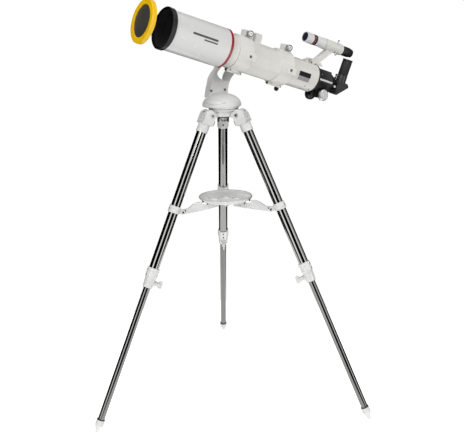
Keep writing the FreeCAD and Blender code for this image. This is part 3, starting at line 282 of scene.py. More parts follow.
def anodised(name, colour, roughness=0.34, specular=0.2):
    """Satin black anodised aluminium: fine blasted grain, with a painted highlight that lightens its edges."""
    n = Nodes(name)
    coords = n.place()
    tint = n.ramp(n.noise(coords, 25, 4), [(0.3, shade(colour, 0.8)), (0.7, shade(colour, 1.3))])
    # painted highlight: sharp edges (pointiness) mixed towards grey
    edge = n.spread(n.add("ShaderNodeNewGeometry").outputs["Pointiness"], 0.0, 0.5, 0.53, 0.62)
    tint = n.mix(edge, tint, (0.12, 0.12, 0.12))
    n.shader.inputs["Specular IOR Level"].default_value = specular
    grain = n.noise(coords, 1500, 2)
    normal = n.bump(grain, 0.1, 0.0001, n.rounded(0.0004))
    return n.finish(tint, n.spread(grain, roughness - 0.06, roughness + 0.08), normal)


def moulded(name, colour, roughness=0.4, grain=1100, strength=0.1):
    """Moulded plastic with a fine spark-eroded grain."""
    n = Nodes(name)
    coords = n.place()
    tint = n.ramp(n.noise(coords, 18, 4), [(0.3, shade(colour, 0.94)), (0.7, shade(colour, 1.06))])
    pits = n.add("ShaderNodeTexVoronoi", Scale=grain)
    n.link(coords, pits.inputs["Vector"])
    normal = n.bump(pits.outputs["Distance"], strength, 0.0001, n.rounded(0.0005))
    return n.finish(tint, n.spread(n.noise(coords, 80), roughness - 0.06, roughness + 0.06), normal)


def glass(name, tint, density):
    """Coated lens."""
    n = Nodes(name)
    haze = n.noise(n.place(), 40, 3)
    n.shader.inputs["Transmission Weight"].default_value = 1.0
    n.shader.inputs["IOR"].default_value = 1.5
    n.shader.inputs["Specular Tint"].default_value = (*tint, 1.0)
    colour = n.ramp(haze, [(0.2, shade(density, 0.95)), (0.8, density)])
    return n.finish(colour, n.spread(haze, 0.01, 0.05))


def film_sheet(name):
    """Dark metallised film, pulled flat but faintly wrinkled."""
    n = Nodes(name)
    coords = n.place(TUBE)
    wave = n.noise(n.place(TUBE, (30, 9, 16)), 1.0, 3)
    tint = n.ramp(n.noise(coords, 12, 3), [(0.3, (0.085, 0.083, 0.074)), (0.7, (0.125, 0.122, 0.11))])
    n.shader.inputs["Metallic"].default_value = 0.5
    return n.finish(tint, n.spread(wave, 0.28, 0.42), n.bump(wave, 0.5, 0.004))


WHITE = (0.72, 0.72, 0.71)
CREAM = (0.73, 0.72, 0.68)
MATERIALS = {
    "casting": powder_coat("casting", WHITE),
    "cradle": powder_coat("cradle", CREAM, 0.36, 700, 0.08),
    "dew_enamel": enamel("dew_enamel", WHITE, 0.0611),
    "tube_enamel": enamel("tube_enamel", CREAM, 0.0482),
    "cell_enamel": enamel("cell_enamel", CREAM, 0.0505),
    "white_plastic": moulded("white_plastic", WHITE),
    "cream_plastic": moulded("cream_plastic", CREAM, 0.45),
    "foot_rubber": moulded("foot_rubber", (0.62, 0.62, 0.6), 0.6, 600, 0.3),
    "black": anodised("black", (0.008, 0.008, 0.009)),
    "black_gloss": anodised("black_gloss", (0.003, 0.003, 0.004), 0.16, 0.12),
    "black_plastic": moulded("black_plastic", (0.008, 0.008, 0.009), 0.34),
    "diagonal_grey": moulded("diagonal_grey", (0.035, 0.035, 0.036), 0.36),
    "diagonal_dark": moulded("diagonal_dark", (0.025, 0.025, 0.026), 0.32),
    "rubber": moulded("rubber", (0.007, 0.007, 0.008), 0.5, 700, 0.2),
    "chrome": metal("chrome", (0.6, 0.6, 0.6), 0.14),
    "zinc": metal("zinc", (0.55, 0.55, 0.54), 0.3),
    "dark_steel": metal("dark_steel", (0.03, 0.03, 0.033), 0.35),
    "grey_steel": metal("grey_steel", (0.16, 0.16, 0.16), 0.4),
    "satin": metal("satin", (0.8, 0.8, 0.79), 0.34, 500, 0.15),
    "mirror": metal("mirror", (0.9, 0.9, 0.92), 0.06),
    "yellow": moulded("yellow", (0.95, 0.56, 0.002), 0.4, 800, 0.06),
    "red_band": enamel("red_band", (0.33, 0.002, 0.014)),
    "dark_red": enamel("dark_red", (0.2, 0.006, 0.014)),
    "film": film_sheet("film"),
    "objective_glass": glass("objective_glass", (0.7, 0.85, 1.0), (0.93, 0.97, 1.0)),
    "finder_glass": enamel("finder_glass", (0.02, 0.022, 0.05)),
    "eye_glass": glass("eye_glass", (0.8, 0.7, 1.0), (0.6, 0.6, 0.75)),
    "plate_black": anodised("plate_black", (0.008, 0.008, 0.009), 0.3),
    "plate_grey": moulded("plate_grey", (0.3, 0.3, 0.31), 0.4),
    "plate_dark": moulded("plate_dark", (0.07, 0.07, 0.075), 0.4),
    "shadow": moulded("shadow", (0.006, 0.006, 0.006), 0.8),
}
for leg in LEGS:
    MATERIALS[f"upper_steel_{leg}"] = polished_steel(f"upper_steel_{leg}", LEG[leg], 0.29)
    MATERIALS[f"lower_steel_{leg}"] = polished_steel(f"lower_steel_{leg}", LEG[leg], 0.2)

NODE_MATERIALS = {
    "casting": ["tripod_hub", "azimuth_dome", "mount_arm", "dovetail_saddle"],
    "cradle": ["cradle_base", "cradle_cover"],
    "dew_enamel": ["dew_shield"],
    "tube_enamel": ["main_tube"],
    "cell_enamel": ["lens_cell"],
    "white_plastic": ["finder_tube", "accessory_tray"],
    "cream_plastic": ["finder_bracket"],
    "black": ["dovetail_bar", "focuser_body", "drawtube", "altitude_knob"],
    "black_gloss": ["dew_rim"],
    "black_plastic": ["eyepiece", "finder_eyepiece", "focus_lock_screw"],
    "diagonal_grey": ["star_diagonal"],
    "chrome": ["saddle_knob", "cradle_knobs", "diagonal_thumbscrews", "finder_screws"],
    "grey_steel": ["arm_bolts"],
    "zinc": ["leg_pivot_bolts", "azimuth_spindle", "altitude_axle", "pinion_shaft"],
    "dark_steel": ["cradle_hinge_pins"],
    "satin": ["focus_knobs"],
    "mirror": ["diagonal_mirror"],
    "yellow": ["filter_cell"],
    "film": ["filter_film"],
    "objective_glass": ["objective_lenses"],
}
LEG_MATERIALS = {
    "leg_bracket": "casting", "leg_collar": "white_plastic", "leg_clamp": "casting",
    "clamp_screw": "cream_plastic", "leg_foot": "foot_rubber", "spreader_arm": "white_plastic",
}


def dress(node, material):
    """Give a CAD node one of the materials."""
    slots = NODES[node].data.materials
    for index in range(len(slots)):
        slots[index] = MATERIALS[material]
    if not slots:
        slots.append(MATERIALS[material])


def dress_nodes():
    for material, names in NODE_MATERIALS.items():
        for name in names:
            dress(name, material)
    for index in LEGS:
        for stem, material in LEG_MATERIALS.items():
            dress(f"{stem}_{index}", material)
        for part in ("upper", "lower"):
            dress(f"{part}_leg_{index}", f"{part}_steel_{index}")


# ---------------------------------------------------------------- mesh building
def make_piece(name, mesh_data, matrix, material, body, slot, bevel=0.0, angle=35.0):
    """Object from a bmesh in millimetres, placed by matrix, that rides on a body."""
    mesh = bpy.data.meshes.new(name)
    bmesh.ops.recalc_face_normals(mesh_data, faces=mesh_data.faces)
    mesh_data.to_mesh(mesh)
    mesh_data.free()
    mesh.transform(matrix @ Matrix.Scale(MM, 4))
    mesh.shade_smooth()
    mesh.set_sharp_from_angle(angle=math.radians(angle))
    piece = bpy.data.objects.new(name, mesh)
    bpy.context.scene.collection.objects.link(piece)
    mesh.materials.append(MATERIALS[material])
    if bevel:
        rounding = piece.modifiers.new("rounding", "BEVEL")
        rounding.width = bevel * MM
        rounding.segments = 2
        rounding.limit_method = "ANGLE"
    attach(piece, body)
    return piece


def join_rings(data, low, high):
    """Add the faces between two rings of as many points."""
    for index in range(len(low)):
        following = (index + 1) % len(low)
        data.faces.new((low[index], low[following], high[following], high[index]))


def lathe(data, profile, steps=64, wave=None, place=Matrix.Identity(4)):
    """Add a turned solid about z from a (height, radius) profile; wave(angle, radius) may vary the radius."""
    rings = []
    for height, radius in profile:
        ring = []
        for step in range(steps):
            angle = 2 * math.pi * step / steps
            reach = wave(angle, radius) if wave else radius
            point = Vector((reach * math.cos(angle), reach * math.sin(angle), height))
            ring.append(data.verts.new(place @ point))
        rings.append(ring)
    closed = profile[0][1] > 0 and profile[-1][1] > 0
    pairs = list(zip(rings, rings[1:]))
    if closed:
        pairs.append((rings[-1], rings[0]))
    for low, high in pairs:
        join_rings(data, low, high)
    if not closed:
        bmesh.ops.remove_doubles(data, verts=rings[0] + rings[-1], dist=1e-5)
    return data


def slab(data, outline, low, high, place=Matrix.Identity(4)):
    """Add a prism over a polygon in xy."""
    bottom = [data.verts.new(place @ Vector((x, y, low))) for x, y in outline]
    top = [data.verts.new(place @ Vector((x, y, high))) for x, y in outline]
    data.faces.new(bottom[::-1])
    data.faces.new(top)
    join_rings(data, bottom, top)
    return data


def rounded_rectangle(length, width, radius, steps=5):
    """Outline with round corners."""
    points = []
    for corner in range(4):
        sign_x = (1, -1, -1, 1)[corner]
        sign_y = (1, 1, -1, -1)[corner]
        for step in range(steps + 1):
            angle = math.pi / 2 * (corner + step / steps)
            points.append((sign_x * (length / 2 - radius) + radius * math.cos(angle),
                           sign_y * (width / 2 - radius) + radius * math.sin(angle)))
    return points


def polygon(count, radius):
    """Outline with equal sides."""
    angles = [2 * math.pi * step / count for step in range(count)]
    return [(radius * math.cos(angle), radius * math.sin(angle)) for angle in angles]


def screw(data, place, radius, height, socket=0.5):
    """Add a cap screw with a hexagon socket; z is out of the face it sits on."""
    count = 24
    levels = [(0, radius), (height - 0.18 * radius, radius), (height, radius * 0.86)]
    rings = []
    for level, reach in levels:
        rings.append([data.verts.new(place @ Vector((x, y, level))) for x, y in polygon(count, reach)])
    hexagon = polygon(6, radius * socket)
    mouth = [data.verts.new(place @ Vector((x, y, height))) for x, y in hexagon]
    floor = [data.verts.new(place @ Vector((x, y, height * 0.45))) for x, y in hexagon]
    data.faces.new(rings[0][::-1])
    for low, high in zip(rings, rings[1:]):
        join_rings(data, low, high)
    share = count // 6
    for side in range(6):
        nearby = [rings[-1][(side * share + step) % count] for step in range(share + 1)]
        data.faces.new(nearby + [mouth[(side + 1) % 6], mouth[side]])
        data.faces.new((mouth[side], mouth[(side + 1) % 6], floor[(side + 1) % 6], floor[side]))
    data.faces.new(floor)
    return data


def wrapped_plate(name, station, angle, length, arc, radius, thickness, material, corner, columns=14):
    """Thin plate on the telescope that follows the tube: a rounded rectangle bent round the optical axis."""
    outline = rounded_rectangle(length, math.radians(arc) * radius, corner)
    data = bmesh.new()
    slab(data, outline, 0, thickness)
    for split in range(1, columns):
        level = (split / columns - 0.5) * math.radians(arc) * radius
        whole = data.verts[:] + data.edges[:] + data.faces[:]
        bmesh.ops.bisect_plane(data, geom=whole, plane_co=(0, level, 0), plane_no=(0, 1, 0))
    for vertex in data.verts:
        turn = math.radians(angle) + vertex.co.y / radius
        reach = radius + vertex.co.z
        vertex.co = Vector((station + vertex.co.x, reach * math.cos(turn), reach * math.sin(turn)))
    return make_piece(name, data, TUBE, material, "telescope", "white_tube")


# ---------------------------------------------------------------- places in millimetres
def turned_to(outward):
    """Rotation that takes z to outward."""
    z = Vector(outward).normalized()
    hint = Vector((1, 0, 0)) if abs(z.x) < 0.9 else Vector((0, 1, 0))
    x = (hint - z * hint.dot(z)).normalized()
    return Matrix((x, z.cross(x), z)).transposed().to_4x4()


def at(place, outward):
    """Local matrix at a place, z along outward."""
    return Matrix.Translation(Vector(place)) @ turned_to(outward)


def around(station, angle, radius):
    """Point at a radius from the optical axis; the angle rises from the near side over the top."""
    return Vector((station, radius * math.cos(math.radians(angle)), radius * math.sin(math.radians(angle))))


def round_tube(station, angle, radius):
    """Place on a cylinder about the optical axis, z out."""
    return at(around(station, angle, radius), around(0, angle, 1))


def local(matrix, point_m):
    """A row-frame point in the millimetres of a part's frame."""
    return matrix.inverted() @ Vector(point_m) / MM


def in_millimetres(matrix):
    """The same frame with its origin in millimetres."""
    result = matrix.copy()
    result.translation = matrix.translation / MM
    return result


def ring_wave(count, depth, least):
    """Ridges round a turned piece, wherever its radius is at least that."""
    return lambda angle, radius: radius + (depth * math.cos(count * angle) if radius >= least else 0)


def disc(data, place, radius, height, edge=0.3, steps=32):
    """Add a flat button with a chamfered rim."""
    profile = [(0, 0), (0, radius), (height - edge, radius), (height, radius - edge), (height, 0)]
    return lathe(data, profile, steps, None, place)


def hoop(data, place, inner, outer, low, high, steps=48):
    """Add a square-section ring."""
    edge = 0.15
    profile = [(low, inner), (low, outer - edge), (low + edge, outer), (high - edge, outer),
               (high, outer - edge), (high, inner)]
    return lathe(data, profile, steps, None, place)


FORWARD = (1, 0, 0)
REARWARD = (-1, 0, 0)
NEAR = (0, 1, 0)
FAR = (0, -1, 0)
UP = (0, 0, 1)


def tube_piece(name, data, material, body, slot, **options):
    """Piece built in the optical tube's millimetres."""
    return make_piece(name, data, TUBE, material, body, slot, **options)


# ---------------------------------------------------------------- pieces on the optical tube
def red_band():
    profile = [(-1.9, 60.2), (-1.9, 62.4), (-1.5, 62.9), (7.3, 62.9), (7.7, 62.4), (7.7, 60.2)]
    data = lathe(bmesh.new(), profile, 128, None, at((0, 0, 0), FORWARD))
    tube_piece("red_band", data, "red_band", "telescope", "white_tube")


def tube_plates():
    """Plain plates where the tube carries markings."""
    wrapped_plate("shield_plate", 103, 6.0, 92, 6, 62.5, 0.35, "plate_dark", 2)
    wrapped_plate("shield_plate_low", 82, -3.0, 50, 4, 62.5, 0.35, "plate_dark", 1.5)
    wrapped_plate("rear_plate", -314, -13, 49, 34, 49.0, 0.3, "plate_grey", 1.5)
    wrapped_plate("rear_badge", -314, -3.5, 50, 18, 49.3, 0.45, "plate_black", 1.5)


def small_screws():
    data = bmesh.new()
    for station, angle in ((-253.3, -8.9), (-338, -49.7), (-364, 60), (-364, 180), (-364, -60)):
        screw(data, round_tube(station, angle, 48.4), 1.9, 1.5)
    tube_piece("tube_screws", data, "dark_steel", "telescope", "black_steel")


def lens_retainer():
    """Threaded black ring that holds the lens pair, with two lugs for a spanner."""
    data = hoop(bmesh.new(), at((0, 0, 0), FORWARD), 46.6, 50.9, 10.9, 13.4, 128)
    for angle in (0, 180):
        turn = Matrix.Rotation(math.radians(angle), 4, "Z")
        place = at((13.2, 0, 0), FORWARD) @ turn @ Matrix.Translation((48.8, 0, 0))
        slab(data, rounded_rectangle(3.6, 2.2, 0.6), 0, 1.4, place)
    tube_piece("lens_retainer", data, "black", "telescope", "black_aluminium")


def filter_felt():
    """Felt lining that grips the rim when the filter is pushed on."""
    data = hoop(bmesh.new(), at((0, 0, 0), FORWARD), 65.72, 66.05, 281.0, 289.4, 128)
    tube_piece("filter_felt", data, "shadow", "solar_filter", "black_plastic")


def shield_lining_rings():
    """Three thin anti-glare ridges inside the dew shield."""
    data = bmesh.new()
    for station in (70, 130, 190):
        hoop(data, at((0, 0, 0), FORWARD), 58.9, 60.4, station, station + 1.2, 96)
    tube_piece("shield_ridges", data, "shadow", "telescope", "black_plastic")


# ---------------------------------------------------------------- pieces on the cradle
KNOB_PLACES = (-79.5, -245.0)
PAD_MOUNTS = ("pad_hole_front", "pad_hole_rear")


def clamp_knobs():
    """Knurled thumb nuts on their screws, with satin faces, a painted shadow ring in the groove round each face
    and a dark centre screw.
    """
    profile = [(-19.4, 0), (-19.4, 2.6), (0, 2.6), (0, 7), (0.8, 9.6), (1.8, 10.3), (12.4, 10.3),
               (13.2, 10.1), (14, 9.4), (14, 8.9), (12.4, 8.8), (12.4, 0)]
    data = bmesh.new()
    for station in KNOB_PLACES:
        lathe(data, profile, 192, ring_wave(32, 0.2, 9.95), at((station, 10.4, 68.5), NEAR))
    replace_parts(tube_piece("clamp_knobs", data, "chrome", "cradle_lid", "chrome"), "cradle_knobs")
    faces = bmesh.new()
    groove_shadows_and_screws = bmesh.new()
    for station in KNOB_PLACES:
        disc(faces, at((station, 22.8, 68.5), NEAR), 7.3, 1.1, 0.4, 48)
        # painted shadow: black ring in the groove between the satin face and the rim
        hoop(groove_shadows_and_screws, at((station, 22.75, 68.5), NEAR), 7.3, 8.8, 0, 0.35, 48)
        screw(groove_shadows_and_screws, at((station, 23.8, 68.5), NEAR), 1.8, 0.5)
    tube_piece("clamp_knob_faces", faces, "satin", "cradle_lid", "satin_aluminium")
    tube_piece("clamp_knob_groove_shadows_and_screws", groove_shadows_and_screws, "shadow", "cradle_lid", "black_steel")


def clamp_ribs():
    """Two thin upright ribs ahead of each thumb nut."""
    data = bmesh.new()
    for station in KNOB_PLACES:
        for ahead in (12.4, 16.0):
            slab(data, rounded_rectangle(1.4, 19, 0.5), 9.6, 14.6, at((station + ahead, 0, 67), NEAR))
    tube_piece("clamp_ribs", data, "cradle", "cradle_lid", "white_paint")


def pad_inserts():
    """Black threaded inserts in the pads' holes."""
    data = bmesh.new()
    for name in PAD_MOUNTS:
        place = at(local(TUBE, MOUNTS[name]["pos_m"]), NEAR)
        hoop(data, place, 2.35, 4.4, 0.01, 0.5, 32)
        disc(data, place @ Matrix.Translation((0, 0, -4.9)), 2.9, 0.9)
    tube_piece("pad_inserts", data, "dark_steel", "cradle_lid", "black_steel")


def hinge_caps():
    """Black heads on the hinge pins and the stop knob behind the rear ring."""
    drop = local(TUBE, JOINTS["cradle_open"]["pos_m"]).z
    data = bmesh.new()
    for low, high in ((-89.5, -32.5), (-259.5, -202.5)):
        disc(data, at((high, 0, drop), FORWARD), 4.2, 2.4)
        disc(data, at((low, 0, drop), REARWARD), 4.2, 2.0)
    profile = [(0, 0), (0, 3.4), (4, 3.4), (4, 7.4), (5, 8.2), (11, 8.2), (12.4, 7.2), (12.4, 0)]
    lathe(data, profile, 96, ring_wave(16, 0.25, 8.1), at((-245.2, -9.2, drop - 8.5), REARWARD))
    tube_piece("hinge_caps", data, "black", "telescope", "black_steel")


# ---------------------------------------------------------------- pieces on the focuser and diagonal
FACET = 37.5                # flats of the six-sided housing from the optical axis


def facet_place(station, angle):
    """Place in the middle of a flat of the housing, z out."""
    return round_tube(station, angle, FACET)


def side_highlight_strips():
    """Bright satin strips on the narrow side flats of the housing: a painted highlight along those flats."""
    data = bmesh.new()
    for outward in (NEAR, FAR):
        # painted highlight: bright satin strip on each side flat
        slab(data, rounded_rectangle(62.4, 6.6, 0.4, 2), 41.0, 41.35, at((-415.9, 0, 0), outward))
    tube_piece("side_highlight_strips", data, "satin", "telescope", "satin_aluminium")


def housing_details():
    """Screws in the flats and thin ribs on the two lower flats."""
    bright = bmesh.new()
    for angle in (30, 150):
        screw(bright, facet_place(-400, angle), 2.1, 1.3)
    tube_piece("housing_screws", bright, "chrome", "telescope", "chrome")
    ribs = bmesh.new()
    for angle in (-30, 210):
        for station in (-441, -437, -433, -394, -390):
            slab(ribs, rounded_rectangle(1.0, 30, 0.4, 2), -0.1, 0.45, facet_place(station, angle))
    tube_piece("housing_ribs", ribs, "black", "telescope", "black_aluminium")
    dark = bmesh.new()
    for angle in (30, 90, 150, 210, 270, 330):
        screw(dark, at(around(-385, angle, 44), REARWARD), 1.8, 1.2)
    tube_piece("flange_screws", dark, "dark_steel", "telescope", "black_steel")


def taper_thumbscrew():
    """Knurled screw on the taper that holds the diagonal's nose."""
    profile = [(-11, 0), (-11, 1.9), (0, 1.9), (0, 3.6), (0.5, 4.3), (5.4, 4.3), (6, 3.8), (6, 0)]
    data = bmesh.new()
    for angle in (-12.0, 192.0):
        lathe(data, profile, 96, ring_wave(20, 0.14, 4.2), round_tube(-466, angle, 31.0))
    tube_piece("taper_thumbscrews", data, "satin", "focus_tube", "chrome")


def far_knob_tyre():
    """Black rubber cover on the far focus knob."""
    shaft = local(TUBE, JOINTS["focus_pinion_turn"]["pos_m"])
    profile = [(28.4, 0), (28.4, 17.6), (30.2, 20.4), (40.4, 20.4), (42.1, 18.2), (42.1, 0)]
    data = lathe(bmesh.new(), profile, 192, ring_wave(40, 0.18, 20.3), at((shaft.x, 0, shaft.z), FAR))
    tube_piece("far_knob_tyre", data, "black_plastic", "focus_pinion", "black_plastic")


def knob_centre():
    """Cap screw in the middle of the near focus knob."""
    shaft = local(TUBE, JOINTS["focus_pinion_turn"]["pos_m"])
    data = screw(bmesh.new(), at((shaft.x, 41.3, shaft.z), NEAR), 3.4, 1.4)
    hoop(data, at((shaft.x, 41.4, shaft.z), NEAR), 13.6, 14.2, 0, 0.35, 64)
    tube_piece("knob_centre", data, "satin", "focus_pinion", "satin_aluminium")


def diagonal_frame():
    """The tube's frame, turned to the diagonal's rest angle: z along the eyepiece."""
    along = TUBE.to_3x3() @ Vector((1, 0, 0))
    pull = Vector(JOINTS["eyepiece_pull"]["axis"])
    return frame_matrix(TUBE.to_translation(), along, pull.cross(along))


DIAGONAL = diagonal_frame()
TURNING_POINT = -514.0


def diagonal_cheeks():
    """Thin side plates and the mirror's back plate, with their screws."""
    x = TURNING_POINT
    outline = [(-494, -22), (-494, 14), (-497, 17.6), (x - 18, 17.6), (x - 26, 10.6), (x - 26, 6.4),
               (-501, -26)]
    plates = bmesh.new()
    screws = bmesh.new()
    for side, outward in ((1, NEAR), (-1, FAR)):
        turn = Matrix(((1, 0, 0, 0), (0, 0, side, 0), (0, 1, 0, 0), (0, 0, 0, 1)))
        slab(plates, outline, 18.9, 19.8, turn)
        for place in ((-498, -20), (-498, 12), (x - 20, 12)):
            screw(screws, at((place[0], side * 19.6, place[1]), outward), 1.7, 1.1)
    back = Vector((-0.65, 0, -0.76))
    slant = Vector((0.76, 0, -0.65))
    middle = Vector((-521, 0, -11))
    place = at(middle, back) @ Matrix.Rotation(math.pi / 2, 4, "Z")
    slab(plates, rounded_rectangle(28, 36, 2), -0.2, 1.3, place)
    for side in (-14, 14):
        for slope in (-11, 11):
            corner = middle + slant * slope + Vector((0, side, 0)) + back * 1.2
            screw(screws, at(corner, back), 1.6, 1.0)
    make_piece("diagonal_cheeks", plates, DIAGONAL, "diagonal_dark", "diagonal", "black_plastic", bevel=0.25)
    make_piece("diagonal_screws", screws, DIAGONAL, "dark_steel", "diagonal", "black_steel")


def eyepiece_pieces():
    """Ribbed rubber grip, soft eye guard and eye lens."""
    place = Matrix.Translation((TURNING_POINT, 0, 0))
    profile = [(45.2, 16.4), (45.2, 16.9), (46.0, 17.2), (92.6, 17.2), (93.4, 16.8), (93.4, 15.2)]
    grip = lathe(bmesh.new(), profile, 288, ring_wave(36, 0.28, 17.1), place)
    make_piece("eyepiece_grip", grip, DIAGONAL, "rubber", "ocular", "black_plastic")
    profile = [(94.5, 12.4), (93.5, 15.3), (94.4, 17.0), (97.4, 18.0), (100.2, 17.9), (101.2, 16.9),
               (101.0, 15.3), (98.6, 13.6)]
    guard = lathe(bmesh.new(), profile, 96, None, place)
    make_piece("eye_guard", guard, DIAGONAL, "rubber", "ocular", "black_plastic", angle=60)
    profile = [(91.8, 0), (91.8, 10.8), (92.6, 10.8), (93.6, 7), (94.1, 3.5), (94.2, 0)]
    lens = lathe(bmesh.new(), profile, 64, None, place)
    make_piece("eye_lens", lens, DIAGONAL, "eye_glass", "ocular", "lens_glass", angle=60)


# ---------------------------------------------------------------- pieces on the finder
def finder_pieces():
    """Objective and its rings, band and groove, and the eyepiece's grip and lens."""
    axis = at((0, 0, 126), FORWARD)
    profile = [(-320.5, 0), (-320.5, 15.3), (-316.6, 15.3), (-315.6, 10), (-315.0, 5), (-314.8, 0)]
    lens = lathe(bmesh.new(), profile, 64, None, axis)
    tube_piece("finder_lens", lens, "finder_glass", "telescope", "lens_glass", angle=60)
    ring = hoop(bmesh.new(), axis, 13.9, 15.35, -316.9, -313.6, 64)
    hoop(ring, axis, 14.05, 16.9, -403.6, -400.6, 64)
    tube_piece("finder_rings", ring, "black", "telescope", "black_plastic")
    band = hoop(bmesh.new(), axis, 17.6, 18.1, -348.4, -341.5, 64)
    tube_piece("finder_band", band, "dark_red", "telescope", "black_aluminium")
    groove = hoop(bmesh.new(), axis, 16.0, 17.6, -357.6, -350.1, 64)
    tube_piece("finder_groove", groove, "black_gloss", "telescope", "black_aluminium")
    profile = [(-517, 15.6), (-517, 16.2), (-516, 16.6), (-488, 16.6), (-487, 16.2), (-487, 15.6)]
    grip = lathe(bmesh.new(), profile, 240, ring_wave(30, 0.3, 16.5), axis)
    tube_piece("finder_grip", grip, "rubber", "finder_focus", "black_plastic")
    profile = [(-523.6, 0), (-523.6, 7), (-524.6, 6.8), (-525.4, 4), (-525.6, 0)]
    eye = lathe(bmesh.new(), profile, 48, None, axis)
    tube_piece("finder_eye_lens", eye, "eye_glass", "finder_focus", "lens_glass", angle=60)


def finder_foot():
    """Screws and clamp knob of the finder's foot."""
    feet = bmesh.new()
    for station in (-352, -372):
        screw(feet, at((station, 18.9, 47.3), NEAR), 2.2, 1.4)
    tube_piece("finder_foot_screws", feet, "dark_steel", "telescope", "black_steel")
    profile = [(0, 0), (0, 1.6), (3, 1.6), (3, 4.6), (3.8, 5.2), (9.2, 5.2), (10, 4.6), (10, 0)]
    knob = lathe(bmesh.new(), profile, 96, ring_wave(18, 0.2, 5.1), at((-343, 14.8, 53.0), NEAR))
    tube_piece("finder_foot_knob", knob, "zinc", "telescope", "steel")


# ---------------------------------------------------------------- pieces on the mount and hub
DOME_LEVEL = 1013.0         # height of the dome's widest circle
DOME_BOX = [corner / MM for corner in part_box("azimuth_dome")]


def mount_pieces():
    """Painted shadow rings in the gaps under the dome and under the hub, caps on the altitude axle and a nut under
    the hub.
    """
    # painted shadow: thin black ring in the gap under the dome
    joint = hoop(bmesh.new(), Matrix.Identity(4), 40, 48.7, 1003.42, 1003.96, 96)
    make_piece("azimuth_shadow_ring", joint, Matrix.Identity(4), "shadow", "tripod", "black_plastic")
    axle = local(TUBE, JOINTS["tension_knob_turn"]["pos_m"])
    cap = disc(bmesh.new(), at((axle.x, -131.6, axle.z), FAR), 9.2, 2.2, 0.6, 48)
    screw(cap, at((axle.x, -133.7, axle.z), FAR), 4.0, 1.4)
    tube_piece("tension_cap", cap, "satin", "tension_knob", "satin_aluminium")
    # painted shadow: black ring in the recess under the hub
    ring = hoop(bmesh.new(), Matrix.Identity(4), 13.1, 20.5, 974.6, 978.9, 64)
    make_piece("hub_shadow_ring", ring, Matrix.Identity(4), "shadow", "tripod", "black_plastic")
    nut = slab(bmesh.new(), polygon(6, 10.4), 961.5, 967.4)
    hoop(nut, Matrix.Identity(4), 4, 12.4, 967.2, 968.4, 48)
    disc(nut, at((0, 0, 962), (0, 0, -1)), 4.6, 3.6, 0.6)
    make_piece("spindle_nut", nut, Matrix.Identity(4), "zinc", "tripod", "steel", bevel=0.3)


def dome_point(turn, rise, proud):
    """Point on the mount's dome at an azimuth and an elevation in degrees, standing proud of it."""
    low, high = DOME_BOX
    centre = (low + high) / 2
    radius = high.x - centre.x + proud
    height = high.z - DOME_LEVEL + proud
    turn, rise = math.radians(turn), math.radians(rise)
    reach = radius * math.cos(rise)
    return Vector((centre.x + reach * math.cos(turn), centre.y + reach * math.sin(turn),
                   DOME_LEVEL + height * math.sin(rise)))


def dome_crest():
    """Crescent-shaped pad on the dome's shoulder, with a painted shadow line round it."""
    # the grey outer layer is a painted shadow line round the raised pad
    layers = (("crest_shadow_line", "plate_grey", 1.3, 0.25), ("crest_pad", "casting", 0.2, 0.9))
    for name, material, margin, proud in layers:
        data = bmesh.new()
        rings = []
        for step in range(41):
            share = step / 40
            bow = math.sin(math.pi * share)
            middle = 30 - 10 * share
            turn = -16 - margin + (84 + 2 * margin) * share
            lowest = middle - 13 * bow - margin
            rises = [lowest + (21 * bow + 2 * margin) * column / 8 for column in range(9)]
            outside = [dome_point(turn, rise, proud) for rise in rises]
            inside = [dome_point(turn, rise, -0.6) for rise in rises[::-1]]
            rings.append([data.verts.new(place) for place in outside + inside])
        data.faces.new(rings[0][::-1])
        data.faces.new(rings[-1])
        for first, second in zip(rings, rings[1:]):
            join_rings(data, first, second)
        make_piece(name, data, Matrix.Identity(4), material, "azimuth_head", "white_paint")


def pivot_screws():
    """Dark socket screws on the ends of the bolts that the legs fold about."""
    data = bmesh.new()
    for index in LEGS:
        pivot = local(HUB[index], JOINTS[f"leg_fold_{index}"]["pos_m"])
        for side, outward in ((23.2, NEAR), (-23.2, FAR)):
            screw(data, in_millimetres(HUB[index]) @ at((pivot.x, side, pivot.z), outward), 3.0, 1.6)
    make_piece("pivot_screws", data, Matrix.Identity(4), "dark_steel", "tripod", "black_steel")


# ---------------------------------------------------------------- pieces on the legs
def leg_piece(name, index, data, material, stem, slot, **options):
    make_piece(f"{name}_{index}", data, LEG[index], material, f"{stem}_{index}", slot, **options)


def bracket_pieces(index):
    """Cover plate in the outer recess, dark yoke on the inner face, cap and screws."""
    cover = slab(bmesh.new(), rounded_rectangle(21.6, 23.6, 2.0), 16.7, 18.5, Matrix.Translation((14, 0, 0)))
    leg_piece("bracket_cover", index, cover, "casting", "leg", "white_paint", bevel=0.3)
    yoke = slab(bmesh.new(), [(10, -19.4), (13.4, -19.4), (13.4, 19.4), (10, 19.4)], -24.4, -21.8)
    for side in (-1, 1):
        prong = [(13.4, side * 12.8), (25.5, side * 12.8), (25.5, side * 19.4), (13.4, side * 19.4)]
        slab(yoke, prong[::side], -24.4, -21.4)
    leg_piece("bracket_yoke", index, yoke, "black_plastic", "leg", "black_plastic", bevel=0.4)
    screws = screw(bmesh.new(), at((42, 0, -18.5), (0, 0, -1)), 2.8, 1.6)
    leg_piece("bracket_screw", index, screws, "dark_steel", "leg", "black_steel")
    caps = screw(bmesh.new(), at((14, 0, 18.4), UP), 2.6, 1.0)
    disc(caps, at((-7.2, 0, 15.6), (-0.42, 0, 0.9)), 5.6, 1.4, 0.4)
    leg_piece("bracket_caps", index, caps, "zinc", "leg", "steel")


